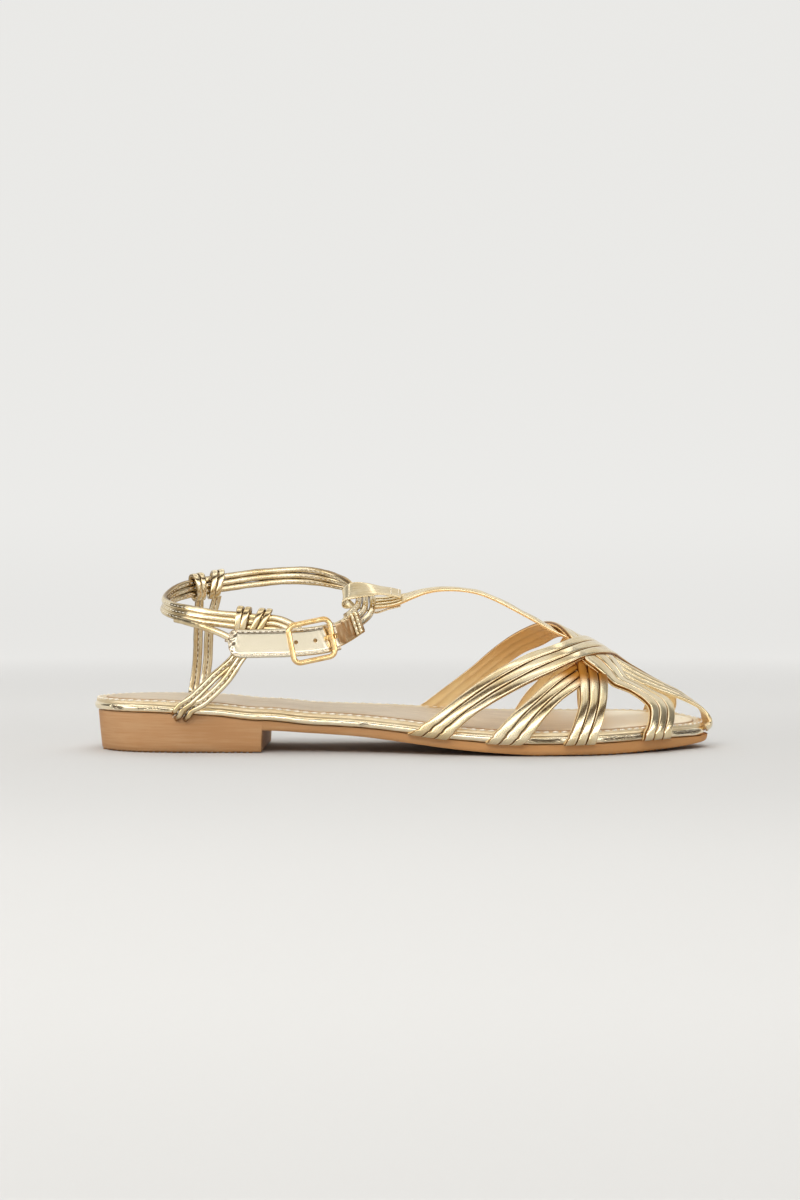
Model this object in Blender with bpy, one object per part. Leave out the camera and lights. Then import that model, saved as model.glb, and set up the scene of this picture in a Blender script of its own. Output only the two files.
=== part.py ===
"""Flat huarache sandal, right shoe, for Blender 4.5.

Frame: +X to the toe, +Y to the inner side of the foot, +Z up. The origin lies under the middle of the
shoe, on the plane that heel and forefoot stand on. Sizes below are in millimetres; MM turns them into metres.
"""

import math

import bmesh
import bpy
import numpy as np
from mathutils import Matrix

MM = 0.001
GAP = 0.3                    # clearance between pieces that touch on the real shoe

# --- sole -----------------------------------------------------------------------------------------
HEEL_END = -126.2            # rearmost point of the insole rim
TOE_END = 122.4              # foremost point of the insole rim
RIM_ROUND = 1.8              # how far the rounded rim stands out past the flat of the insole
SOLE_INSET = 1.35            # outsole edge behind the rim's widest line
TOE_LEDGE = 1.3              # outsole edge ahead of the rim at the toe tip, under the centre strap
LEDGE_START = 112.0
SOLE_TAPER = 1.1             # how much narrower the outsole is at the ground
SOLE_TAPER_HEIGHT = 15.0     # sole height at which that taper is reached
SOLE_TAPER_LEAST = 0.25      # taper of the thinnest part
SOLE_EDGE = 0.9              # height of the worn lower edge
BREAST = -56.6               # front face of the heel block
BREAST_SLOPE = 0.2           # half the length over which the breast's face rises

# x, outer and inner half-width of the insole rim
OUTLINE = (
    (HEEL_END, 0.0, 0.0),
    (-122.0, 14.5, 14.5),
    (-105.0, 26.2, 26.0),
    (-85.0, 29.0, 28.2),
    (-60.0, 29.0, 27.0),
    (-35.0, 29.8, 26.0),
    (-10.0, 33.0, 28.0),
    (10.0, 37.5, 32.0),
    (30.0, 41.0, 38.2),
    (50.0, 42.6, 42.2),
    (70.0, 40.3, 41.8),
    (88.0, 32.5, 37.0),
    (103.0, 21.8, 28.8),
    (114.0, 12.6, 20.6),
    (119.5, 5.8, 14.6),
    (TOE_END, -4.0, 4.0),
)

# x, height of the ground side, of the seam between outsole and insole, of the rim's top, and how much
# higher the inner edge is than the outer one
LEVELS = (
    (HEEL_END, 0.0, 16.2, 20.9, 0.0),
    (-100.0, 0.0, 15.9, 20.6, 0.1),
    (-75.0, 0.0, 14.7, 19.5, 0.5),
    (BREAST - BREAST_SLOPE, 0.0, 12.9, 17.8, 0.7),
    (BREAST + BREAST_SLOPE, 8.4, 12.9, 17.8, 0.7),
    (-38.0, 7.5, 11.3, 16.2, 0.8),
    (-19.0, 6.3, 10.4, 15.1, 1.2),
    (0.0, 4.1, 8.5, 13.3, 2.0),
    (18.0, 2.0, 6.3, 11.1, 2.8),
    (36.0, 0.6, 5.1, 9.9, 3.0),
    (50.0, 0.0, 4.7, 9.6, 3.0),
    (75.0, 0.0, 4.9, 9.7, 2.9),
    (100.0, 0.5, 5.5, 10.3, 2.8),
    (113.0, 1.0, 5.3, 10.3, 2.4),
    (TOE_END, 2.2, 5.0, 10.5, 0.7),
)
RISE_START = -8.0            # y at which the sole starts to rise to its inner edge
PADDING = 0.6                # how far the padded sock stands above the rim
PADDING_INSET = 5.0          # distance from the rim's flat to the full height of the padding
SOLE_STATIONS = 36
ACROSS = (0.35, 0.6, 0.8)    # columns between the outer and the inner edge of a flat side

# --- upper ----------------------------------------------------------------------------------------
WALL = 1.8                   # thickness of a padded strip at its middle
GROOVE = 0.8                 # thickness in the groove between two strips
SKIVE = 0.9                  # thickness of a band's end where it is tucked under the rim
BAND_GAP = GAP + 0.15        # a little wider than GAP, as flat facets cut the round of the rim
SECTION_POWER = 2.1          # 2 is an ellipse across the last, more is squarer
FOOT = -60.0                 # degrees round the rim at which a band ends

# x, height of the last's crown and where the crown line runs sideways
CROWN = (
    (-10.0, 56.0, 0.0),
    (15.0, 59.5, 0.5),
    (46.6, 53.0, 1.6),
    (62.7, 45.6, 2.2),
    (75.0, 39.0, 2.6),
    (87.7, 31.2, 3.0),
    (100.0, 25.3, 3.4),
    (111.7, 19.8, 3.8),
    (119.0, 14.5, 4.0),
    (TOE_END, 9.0, 4.0),
)

# Bands on the last. Each row: x and degrees of the rear edge, x and degrees of the front edge. Degrees run
# across the last: 0 outer rim, 90 crown, 180 inner rim; past either rim a band wraps round under the edge.
OUTER_REAR_TO_INNER_FRONT = (
    (0.8, -60, 15.7, -60),
    (5.0, 0, 18.6, 0),
    (9.5, 4.5, 21.5, 3.5),
    (15.0, 10, 26.5, 8.5),
    (22.0, 17, 32.5, 13.5),
    (34.2, 29, 43.5, 22.5),
    (45.8, 40, 54.5, 32),
    (53.3, 47, 61.3, 40),
    (60.0, 56, 67.5, 48.5),
    (66.0, 68, 73.5, 58),
    (71.0, 83, 79.0, 70),
    (75.0, 98, 83.5, 84),
    (79.0, 112, 88.5, 97),
    (84.0, 124, 94.5, 106),
    (90.0, 131, 101.0, 113),
    (96.5, 137, 107.5, 118),
    (100.5, 147, 111.5, 127),
    (102.0, 160, 113.2, 150),
    (101.5, 172, 113.0, 168),
    (100.5, 180, 112.2, 180),
    (99.5, 240, 111.5, 240),
)
INNER_REAR_TO_OUTER_FRONT = (
    (3.0, 240, 19.0, 240),
    (5.0, 180, 21.5, 180),
    (9.5, 175, 24.5, 176),
    (14.9, 170, 28.5, 171),
    (27.8, 157, 39.5, 157),
    (40.5, 139, 50.0, 142.5),
    (50.2, 122, 58.3, 130),
    (56.4, 104, 64.0, 112),
    (60.5, 90, 68.5, 98),
    (65.0, 75, 73.5, 84),
    (69.5, 61, 77.5, 73),
    (75.0, 50, 81.5, 64),
    (81.0, 46, 87.0, 62),
    (87.0, 47, 93.5, 60),
    (91.5, 44, 99.5, 58.5),
    (94.5, 34, 104.0, 51),
    (95.2, 24, 106.2, 34),
    (94.6, 13, 105.6, 17),
    (93.6, 5, 104.6, 6),
    (92.5, 0, 104.2, 0),
    (92.2, -60, 104.6, -60),
)
OUTER_MID_TO_INNER_MID = (
    (30.5, -60, 43.9, -60),
    (33.0, 0, 47.5, 0),
    (36.0, 4, 49.8, 4),
    (40.5, 10, 53.2, 10),
    (47.3, 18, 59.0, 19),
    (55.9, 31, 66.0, 29),
    (63.2, 42, 72.0, 40),
    (68.5, 54, 77.3, 51),
    (72.0, 69, 81.0, 66),
    (74.5, 85, 83.5, 83),
    (75.5, 100, 85.0, 99),
    (75.7, 115, 85.6, 114),
    (75.2, 130, 85.5, 128),
    (74.2, 146, 85.3, 146),
    (74.4, 162, 85.5, 162),
    (75.0, 175, 86.0, 175),
    (75.5, 180, 86.5, 180),
    (76.0, 240, 87.5, 240),
)
INNER_MID_TO_OUTER_MID = (
    (44.0, 240, 56.5, 240),
    (46.8, 180, 59.5, 180),
    (49.0, 175, 61.5, 176),
    (52.3, 168, 64.5, 169),
    (57.5, 158, 69.0, 158),
    (61.8, 145, 72.3, 144),
    (64.0, 128, 74.0, 127),
    (65.0, 109, 75.0, 109),
    (65.3, 91, 76.0, 92),
    (65.4, 73, 76.7, 76),
    (65.6, 57, 77.2, 61),
    (65.7, 44, 77.6, 49),
    (66.3, 34, 77.9, 39),
    (66.5, 22, 77.2, 26),
    (64.3, 9, 75.2, 10),
    (62.9, 3.5, 74.0, 4),
    (61.8, 0, 73.2, 0),
    (60.3, -60, 72.5, -60),
)

# name, rows, height above the last where the bands cross
BANDS = (
    ("outer_mid", OUTER_MID_TO_INNER_MID, 0.0),
    ("inner_mid", INNER_MID_TO_OUTER_MID, 1.1),
    ("inner_rear", INNER_REAR_TO_OUTER_FRONT, 2.0),
    ("outer_rear", OUTER_REAR_TO_INNER_FRONT, 3.6),
)
LIFT_START = 15.0            # degrees up from either rim at which a band starts to rise over the others
LIFT_TURN = 50.0             # degrees over which it reaches its full height
BAND_STATIONS = 35

# Centre strap: x, z and y of its middle, from under the toe tip to the ankle
CENTRE_STRAP = (
    (123.1, 6.7, 4.0),
    (124.4, 7.7, 4.0),
    (125.2, 9.4, 4.0),
    (124.3, 12.0, 4.0),
    (120.2, 16.4, 4.0),
    (111.7, 22.3, 3.8),
    (100.0, 28.0, 3.4),
    (87.7, 33.6, 3.0),
    (75.0, 41.8, 2.6),
    (62.7, 49.2, 2.2),
    (46.6, 57.2, 1.8),
    (28.0, 62.2, 1.4),
    (14.0, 63.2, 1.2),
    (0.0, 61.6, 1.0),
    (-8.0, 60.4, 1.0),
    (-10.5, 60.2, 1.0),
)
CENTRE_WIDTH = 9.6
CENTRE_WALL = 1.5
LOOP_EASE = 2.2              # room in the folded loop beside the cord, at each end
LOOP_RISE = 0.3              # room in it above and below the cord
LOOP_POINTS = 20
FRONT_START = -40.0          # x ahead of which the ankle cord runs round the front
CENTRE_STATIONS = 36

# --- ankle ----------------------------------------------------------------------------------------
CORD_HEIGHT = 8.0            # three rolled strips lying on each other
CORD_THICKNESS = 3.0
STRIP_WIDTH = 5.4            # one doubled heel strip
STRIP_WALL = 1.5
STRIP_STATIONS = 17
STRIP_EASE = 0.1             # extra room between a strip and the rim
KNOT_EASE = 0.15             # extra room between a knot's loop and the cord
KNOT_JOIN = 0.3              # how far below a loop its strip ends

# Route of the ankle cord: x, y, z and the lean of its three strips (0 stacked upright, 90 lying flat)
CORD_ROUTE = (
    (-50.5, -28.2, 50.6, 0),
    (-57.0, -28.6, 51.0, 0),
    (-65.0, -28.2, 51.8, 0),
    (-74.0, -26.0, 52.8, 0),
    (-84.0, -20.5, 54.2, 8),
    (-93.0, -12.0, 55.8, 14),
    (-98.2, -2.0, 58.0, 16),
    (-97.6, 9.0, 61.2, 14),
    (-93.0, 18.0, 64.0, 8),
    (-84.0, 25.5, 66.2, 0),
    (-72.0, 29.8, 68.2, 0),
    (-58.0, 32.0, 70.0, 0),
    (-44.0, 31.0, 70.4, 5),
    (-32.0, 26.5, 68.8, 25),
    (-22.0, 17.5, 65.6, 55),
    (-17.2, 7.5, 62.4, 84),
    (-16.4, -1.0, 59.4, 84),
    (-17.0, -8.5, 55.8, 60),
    (-19.6, -14.2, 53.2, 40),
    (-22.4, -18.2, 51.4, 25),
)
CORD_STATIONS = 72

# Heel strips: x at the rim, then x, y, z on the way up, and the x at which each loops over the cord
OUTER_STRIPS = (
    (-88.8, ((-85.0, -30.9, 21.0), (-76.0, -30.6, 29.5), (-68.0, -29.8, 38.0)), -64.2),
    (-82.6, ((-78.6, -30.9, 21.0), (-69.8, -30.6, 29.5), (-62.0, -29.8, 38.0)), -56.4),
)
INNER_STRIPS = (
    (-90.5, ((-90.2, 30.2, 23.0), (-89.6, 29.4, 36.0), (-88.8, 27.2, 50.0)), -88.2),
    (-85.5, ((-85.0, 30.4, 23.0), (-83.6, 30.2, 36.0), (-82.4, 28.8, 50.0)), -80.6),
)

# --- buckle ---------------------------------------------------------------------------------------
STRAP_WIDTH = 11.2
STRAP_WALL = 1.5
# x, y, z of the middle of the buckle strap, outside of the ankle
BUCKLE_STRAP = (
    (-68.8, -31.6, 43.3),
    (-64.0, -32.8, 43.1),
    (-55.0, -33.4, 43.2),
    (-45.0, -33.5, 43.5),
    (-36.0, -32.6, 44.2),
    (-29.0, -30.6, 45.4),
    (-24.2, -28.2, 46.8),
)
STRAP_STATIONS = 26
HOLE_RADIUS = 0.8
HOLE_REACH = 4.0             # half the length of a punch, longer than the strap is thick
HOLES_X = (-42.6, -35.3, -28.4)
FRAME_WIDTH = 16.4           # between the middles of the buckle's side bars
FRAME_HEIGHT = 14.8
FRAME_ROUND = 2.6
FRAME_WIRE = 1.05            # radius of the buckle's wire
FRAME_CENTRE = (-36.4, -35.4, 44.2)
FRAME_YAW = 12.0             # degrees, right side in towards the ankle
FRAME_TILT = 11.5            # degrees, right side up
BILLET = (
    (-31.5, -29.7, 45.2),
    (-27.0, -27.8, 46.4),
    (-23.4, -25.2, 48.2),
    (-20.6, -22.9, 50.0),
    (-18.0, -20.6, 51.7),
)
BILLET_WIDTH = 9.6
BILLET_STATIONS = 12
KNUCKLE_WALL = 0.8           # the prong's plate, rolled round the front bar
KNUCKLE_WIDTH = 2.0
KNUCKLE_START = -70.0        # degrees round the bar
KNUCKLE_TURN = 320.0
KNUCKLE_POINTS = 14


def interpolate(rows, column, x, keys=None):
    """Value of one column of a table at x, on a smooth curve with no overshoot."""
    places = [row[0] for row in rows] if keys is None else keys
    values = [row[column] for row in rows]
    if x <= places[0]:
        return values[0]
    if x >= places[-1]:
        return values[-1]
    index = max(i for i in range(len(places) - 1) if places[i] <= x)
    step = places[index + 1] - places[index]
    part = (x - places[index]) / step

    def slope(i):
        if i == 0:
            return (values[1] - values[0]) / (places[1] - places[0])
        if i == len(places) - 1:
            return (values[-1] - values[-2]) / (places[-1] - places[-2])
        before = (values[i] - values[i - 1]) / (places[i] - places[i - 1])
        after = (values[i + 1] - values[i]) / (places[i + 1] - places[i])
        return 0.0 if before * after <= 0 else 2 * before * after / (before + after)

    start, end = slope(index) * step, slope(index + 1) * step
    square, cube = part * part, part ** 3
    return (
        (2 * cube - 3 * square + 1) * values[index] + (cube - 2 * square + part) * start
        + (3 * square - 2 * cube) * values[index + 1] + (cube - square) * end
    )


def along(x):
    """Angle from 0 at the heel end to pi at the toe end, which spaces points closely at both round ends."""
    share = (x - HEEL_END) / (TOE_END - HEEL_END)
    return math.acos(min(1.0, max(-1.0, 1 - 2 * share)))


OUTLINE_KEYS = [along(row[0]) for row in OUTLINE]


def edge(x, side, offset=0.0):
    """y of the rim's widest line at x on side -1 (outer) or 1 (inner), moved out by offset."""
    column = 1 if side < 0 else 2
    y = side * interpolate(OUTLINE, column, along(x), OUTLINE_KEYS)
    if offset == 0.0:
        return y
    step = 0.5
    low, high = max(HEEL_END, x - step), min(TOE_END, x + step)
    slope = (edge(high, side) - edge(low, side)) / (high - low)
    return y + side * offset * min(2.0, math.hypot(1.0, slope))


def rise(x, y):
    """How much the sole is lifted at x, y: nothing on the outer half, most at the inner edge."""
    share = (y - RISE_START) / (edge(x, 1) - RISE_START)
    return interpolate(LEVELS, 4, x) * max(0.0, share) ** 2


def level(x, which, y=RISE_START):
    """Height of the ground side (1), the seam (2) or the rim's top (3)."""
    height = interpolate(LEVELS, which, x)
    return height if which == 1 and x < BREAST else height + rise(x, y)


def follow(rows, count):
    """Rows worked out between rows, each column smooth and with no overshoot."""
    keys = list(range(len(rows)))
    places = [keys[-1] * i / (count - 1) for i in range(count)]
    return [[interpolate(rows, column, place, keys) for column in range(len(rows[0]))] for place in places]


def spline(rows, count):
    """Points of a smooth curve through rows of numbers."""
    points = [np.array(row, dtype=float) for row in rows]
    spans = len(points) - 1
    found = []
    for i in range(count):
        place = spans * i / (count - 1)
        k = min(int(place), spans - 1)
        t = place - k
        b, c = points[k], points[k + 1]
        a = points[k - 1] if k > 0 else 2 * b - c
        d = points[k + 2] if k + 2 < len(points) else 2 * c - b
        found.append(
            0.5 * (2 * b + (c - a) * t + (2 * a - 5 * b + 4 * c - d) * t ** 2 + (3 * b - a - 3 * c + d) * t ** 3)
        )
    return found


def unit(vector):
    return vector / np.linalg.norm(vector)


# --- meshes ---------------------------------------------------------------------------------------
def material(name, colour, roughness, metallic):
    made = bpy.data.materials.new(name)
    made.use_nodes = True
    shader = made.node_tree.nodes["Principled BSDF"]
    shader.inputs["Base Color"].default_value = (*colour, 1.0)
    shader.inputs["Roughness"].default_value = roughness
    shader.inputs["Metallic"].default_value = metallic
    made.diffuse_color = (*colour, 1.0)
    return made


def add_object(name, vertices, faces, finish):
    """Object with a closed mesh, its faces pointing out; vertices are in millimetres."""
    mesh = bpy.data.meshes.new(name)
    mesh.from_pydata([tuple(float(c) * MM for c in v) for v in vertices], [], faces)
    mesh.materials.append(finish)
    shape = bmesh.new()
    shape.from_mesh(mesh)
    bmesh.ops.remove_doubles(shape, verts=shape.verts, dist=1e-6)
    bmesh.ops.recalc_face_normals(shape, faces=shape.faces)
    if shape.calc_volume(signed=True) < 0:
        bmesh.ops.reverse_faces(shape, faces=shape.faces)
    shape.to_mesh(mesh)
    shape.free()
    mesh.shade_smooth()
    mesh.set_sharp_from_angle(angle=math.radians(40))
    made = bpy.data.objects.new(name, mesh)
    bpy.context.scene.collection.objects.link(made)
    return made


def combine(base, others, operation="UNION"):
    """Join others to base, or cut them from it, and drop them."""
    for other in others:
        step = base.modifiers.new("combine", "BOOLEAN")
        step.operation = operation
        step.solver = "EXACT"
        step.object = other
        bpy.context.view_layer.update()
        evaluated = base.evaluated_get(bpy.context.evaluated_depsgraph_get())
        mesh = bpy.data.meshes.new_from_object(evaluated)
        base.modifiers.clear()
        base.data = mesh
        bpy.data.objects.remove(other)
    return base


def fill_pockets(whole):
    """Fill the air pockets that crossing bands close in: only the largest shell stays."""
    shape = bmesh.new()
    shape.from_mesh(whole.data)
    left, shells = set(shape.verts), []
    while left:
        shell, edge_of_shell = set(), [left.pop()]
        while edge_of_shell:
            vertex = edge_of_shell.pop()
            shell.add(vertex)
            for other in (e.other_vert(vertex) for e in vertex.link_edges):
                if other in left:
                    left.remove(other)
                    edge_of_shell.append(other)
        shells.append(shell)
    largest = max(shells, key=len)
    inside = [v for shell in shells if shell is not largest for v in shell]
    bmesh.ops.delete(shape, geom=inside, context="VERTS")
    shape.to_mesh(whole.data)
    shape.free()
    return whole


def loft(rings, closed=False):
    """Vertices and faces through rings of equal count; an open loft is capped at both ends."""
    count = len(rings[0])
    vertices = [point for ring in rings for point in ring]
    faces = []
    for i in range(len(rings) if closed else len(rings) - 1):
        here, there = i * count, ((i + 1) % len(rings)) * count
        for j in range(count):
            k = (j + 1) % count
            faces.append((here + j, here + k, there + k, there + j))
    if not closed:
        faces.append(tuple(reversed(range(count))))
        faces.append(tuple(range((len(rings) - 1) * count, len(rings) * count)))
    return vertices, faces


def sweep(points, widths, section, closed=False):
    """Rings of a section carried along points. widths holds, at each point, the direction that the section's
    first number runs in; its second number runs square to that and to the path."""
    rings = []
    last = len(points) - 1
    for i, point in enumerate(points):
        before = points[i - 1] if (closed or i > 0) else point
        after = points[(i + 1) % len(points)] if (closed or i < last) else point
        tangent = unit(after - before)
        wide = unit(widths[i] - tangent * np.dot(widths[i], tangent))
        thick = np.cross(tangent, wide)
        rings.append([point + wide * a + thick * b for a, b in section])
    return rings


def flat_section(width, thickness):
    """Flat strip with rounded long edges."""
    w, t = width / 2, thickness / 2
    return ((-w, 0.0), (-w + t, -t), (w - t, -t), (w, 0.0), (w - t, t), (-w + t, t))


def round_section(radius, sides=10):
    turns = [2 * math.pi * (i + 0.5) / sides for i in range(sides)]
    return [(radius * math.cos(a), radius * math.sin(a)) for a in turns]


def strips_section(width, thickness, strips):
    """Rolled strips side by side: full in the middle of each, thin between two."""
    half, pitch, points = thickness / 2, width / strips, []
    for k in range(strips):
        left = -width / 2 + pitch * k
        points += [(left, 0.5 * half if k else 0.0), (left + 0.5 * pitch, half)]
    points.append((width / 2, 0.0))
    lower = [(a, -b) for a, b in reversed(points[1:-1])]
    return points + lower


# --- sole -----------------------------------------------------------------------------------------
def sole_places():
    """x of each station, close together at the ends, with two at the heel's breast."""
    length = TOE_END - HEEL_END
    places = [HEEL_END + length * (1 - math.cos(math.pi * i / SOLE_STATIONS)) / 2
              for i in range(SOLE_STATIONS + 1)]
    nearest = min(range(len(places)), key=lambda i: abs(places[i] - BREAST))
    places[nearest] = BREAST - BREAST_SLOPE
    places.insert(nearest + 1, BREAST + BREAST_SLOPE)
    return places


def rim_ring(places):
    """Closed ring of (x, y) on the rim's widest line, with the outward direction at each point."""
    tip_rear = [(HEEL_END, 0.0)]
    tip_front = [(TOE_END, edge(TOE_END, 1))]
    outer = [(x, edge(x, -1)) for x in places[1:-1]]
    inner = [(x, edge(x, 1)) for x in reversed(places[1:-1])]
    ring = [np.array(p) for p in tip_rear + outer + tip_front + inner]
    normals = []
    for i in range(len(ring)):
        run = ring[(i + 1) % len(ring)] - ring[i - 1]
        normals.append(unit(np.array((run[1], -run[0]))))
    return ring, normals


def stacked_sole(name, layers, finish):
    """Solid between rings that follow the rim. Each layer gives, from x, the offset out from the rim's
    widest line and, from x and y, the height."""
    ring, normals = rim_ring(sole_places())
    count = len(ring)
    vertices, faces = [], []
    for offset, height in layers:
        for point, normal in zip(ring, normals):
            x, y = point + normal * offset(point[0])
            vertices.append((x, y, height(point[0], y)))
    for i in range(len(layers) - 1):
        for j in range(count):
            k = (j + 1) % count
            faces.append((i * count + j, i * count + k, (i + 1) * count + k, (i + 1) * count + j))
    for start, height in ((0, layers[0][1]), ((len(layers) - 1) * count, layers[-1][1])):
        previous = [start] * (len(ACROSS) + 2)
        for j in range(1, count // 2):
            outer, inner = start + j, start + count - j
            row = [outer]
            for share in ACROSS:
                x, y, _ = (vertices[outer][c] * (1 - share) + vertices[inner][c] * share for c in range(3))
                row.append(len(vertices))
                vertices.append((x, y, height(ring[j][0], y)))
            row.append(inner)
            faces += band_of_faces(previous, row)
            previous = row
        faces += band_of_faces(previous, [start + count // 2] * len(previous))
    return add_object(name, vertices, faces, finish)


def band_of_faces(row, following):
    """Faces between two rows of corners; at a tip all corners of a row are the same."""
    faces = []
    for a, b, c, d in zip(row, row[1:], following[1:], following):
        face = list(dict.fromkeys((a, b, c, d)))
        faces.append(tuple(face))
    return faces


def build_outsole(finish):
    """Outsole and heel block in one moulded piece."""
    def ledge(x):
        share = min(1.0, max(0.0, (x - LEDGE_START) / (TOE_END - LEDGE_START)))
        return -SOLE_INSET + (SOLE_INSET + TOE_LEDGE) * share * share

    def taper(x):
        return SOLE_TAPER * (level(x, 2) - level(x, 1)) / SOLE_TAPER_HEIGHT + SOLE_TAPER_LEAST

    layers = (
        (lambda x: ledge(x) - taper(x) - SOLE_EDGE, lambda x, y: level(x, 1, y)),
        (lambda x: ledge(x) - taper(x), lambda x, y: level(x, 1, y) + SOLE_EDGE),
        (ledge, lambda x, y: level(x, 2, y) - GAP / 2),
    )
    return stacked_sole("outsole", layers, finish)


def rim_height(x):
    return (level(x, 3) - level(x, 2) - GAP / 2) / 2


def rim_middle(x, y):
    return (level(x, 3, y) + level(x, 2, y) + GAP / 2) / 2


def build_insole(finish):
    """Insole board with the leather rolled round its edge and a padded sock on top."""
    def layer(degrees):
        turn = math.radians(degrees)
        return (
            lambda x: -RIM_ROUND * (1 - math.cos(turn)),
            lambda x, y: rim_middle(x, y) + rim_height(x) * math.sin(turn),
        )
    rolled = [layer(d) for d in (-90, -50, -15, 20, 55, 90)]
    padded = (lambda x: -RIM_ROUND - PADDING_INSET, lambda x, y: level(x, 3, y) + PADDING)
    return stacked_sole("insole", rolled + [padded], finish)


# --- upper ----------------------------------------------------------------------------------------
def rim_point(x, side, degrees, offset):
    """Point round the rolled rim: 0 degrees at its widest, -90 below, 90 on top."""
    turn = math.radians(degrees)
    out = (RIM_ROUND + offset) * math.cos(turn) - RIM_ROUND
    y = edge(x, side, out)
    return np.array((x, y, rim_middle(x, edge(x, side)) + (rim_height(x) + offset) * math.sin(turn)))


def last_point(x, degrees):
    """Point on the last: 0 degrees outer rim, 90 crown, 180 inner rim."""
    side = -1 if degrees <= 90 else 1
    folded = degrees if degrees <= 90 else 180 - degrees
    if folded <= 0:
        return rim_point(x, side, folded, BAND_GAP)
    turn = math.radians(folded)
    reach, climb = math.cos(turn) ** (2 / SECTION_POWER), math.sin(turn) ** (2 / SECTION_POWER)
    middle, low = interpolate(CROWN, 2, x), rim_middle(x, edge(x, side))
    rim = edge(x, side, BAND_GAP)
    return np.array((x, middle + (rim - middle) * reach, low + (interpolate(CROWN, 1, x) - low) * climb))


def last_normal(x, degrees):
    """Direction straight out of the last."""
    forward = last_point(x + 0.5, degrees) - last_point(x - 0.5, degrees)
    across = last_point(x, degrees + 1.5) - last_point(x, degrees - 1.5)
    return unit(np.cross(forward, across))


def band_section(share):
    """Places across a band and their heights: three padded strips outside, flat lining inside."""
    wall = SKIVE + (WALL - SKIVE) * share
    groove = wall * GROOVE / WALL
    outside = []
    for strip in range(3):
        left = strip / 3
        outside += [(left + 0.01, groove), (left + 0.165, wall)]
    outside.append((0.99, groove))
    return outside + [(1.0, 0.0), (0.5, 0.0), (0.0, 0.0)]


def build_band(name, rows, layer, finish):
    """Band of three padded strips, lying on the last and lifted where it crosses the others."""
    rings = []
    for rear_x, rear_turn, front_x, front_turn in follow(rows, BAND_STATIONS):
        middle = (rear_turn + front_turn) / 2
        folded = min(middle, 180 - middle)
        over = min(1.0, max(0.0, (folded - LIFT_START) / LIFT_TURN))
        lift = layer * over * over * (3 - 2 * over)
        tuck = min(1.0, max(0.0, (folded - FOOT) / LIFT_TURN))
        ring = []
        for place, height in band_section(tuck):
            x = rear_x + (front_x - rear_x) * place
            degrees = rear_turn + (front_turn - rear_turn) * place
            ring.append(last_point(x, degrees) + last_normal(x, degrees) * (lift + height))
        rings.append(ring)
    return add_object(name, *loft(rings), finish)


def build_centre_strap(finish):
    points = [np.array((x, y, z)) for x, z, y in spline(CENTRE_STRAP, CENTRE_STATIONS)]
    widths = [np.array((0.0, 1.0, 0.0))] * len(points)
    rings = sweep(points, widths, strips_section(CENTRE_WIDTH, CENTRE_WALL, 3))
    return add_object("centre", *loft(rings), finish)


def loop_path(centre, wide, high, half_wide, half_high, count=16):
    """Oval round a centre, in the plane of two directions."""
    path = []
    for i in range(count):
        turn = 2 * math.pi * i / count
        c, s = math.cos(turn), math.sin(turn)
        reach = abs(c) ** 3 + abs(s) ** 3
        scale = 1 / reach ** (1 / 3)
        path.append(centre + wide * half_wide * c * scale + high * half_high * s * scale)
    return path


def build_centre_loop(route, finish):
    """End of the centre strap, folded round the ankle cord."""
    front = [frame for frame in route if frame["point"][0] > FRONT_START]
    place = min(front, key=lambda frame: abs(frame["point"][1] - CENTRE_STRAP[-1][2]))
    along_cord, flat = place["tangent"], place["long"]
    thin = np.cross(along_cord, flat)
    centre = place["point"]
    half_wide = CORD_HEIGHT / 2 + GAP + CENTRE_WALL / 2 + LOOP_EASE
    half_high = CORD_THICKNESS / 2 + GAP + CENTRE_WALL / 2 + LOOP_RISE
    path = loop_path(centre, unit(flat), thin, half_wide, half_high, LOOP_POINTS)
    widths = [along_cord] * len(path)
    section = flat_section(CENTRE_WIDTH, CENTRE_WALL)
    return add_object("centre_loop", *loft(sweep(path, widths, section, True), True), finish)


def build_upper(route, finish):
    pieces = [build_band(name, rows, layer, finish) for name, rows, layer in BANDS]
    pieces.append(build_centre_strap(finish))
    pieces.append(build_centre_loop(route, finish))
    whole = fill_pockets(combine(pieces[0], pieces[1:]))
    whole.name = "upper"
    return whole


# --- ankle ----------------------------------------------------------------------------------------
def cord_frames():
    """Point, direction and the direction in which the three strips lie, along the ankle cord."""
    rows = spline(CORD_ROUTE, CORD_STATIONS)
    points = [row[:3] for row in rows]
    frames = []
    for i, row in enumerate(rows):
        tangent = unit(points[min(i + 1, len(rows) - 1)] - points[max(i - 1, 0)])
        upright = np.array((0.0, 0.0, 1.0))
        upright = unit(upright - tangent * np.dot(upright, tangent))
        aside = np.cross(tangent, upright)
        lean = math.radians(row[3])
        frames.append({
            "point": row[:3],
            "tangent": tangent,
            "long": upright * math.cos(lean) + aside * math.sin(lean),
        })
    return frames


def build_cord(route, finish):
    section = strips_section(CORD_HEIGHT, CORD_THICKNESS, 3)
    rings = sweep([f["point"] for f in route], [f["long"] for f in route], section)
    return add_object("ankle_cord", *loft(rings), finish)


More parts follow.
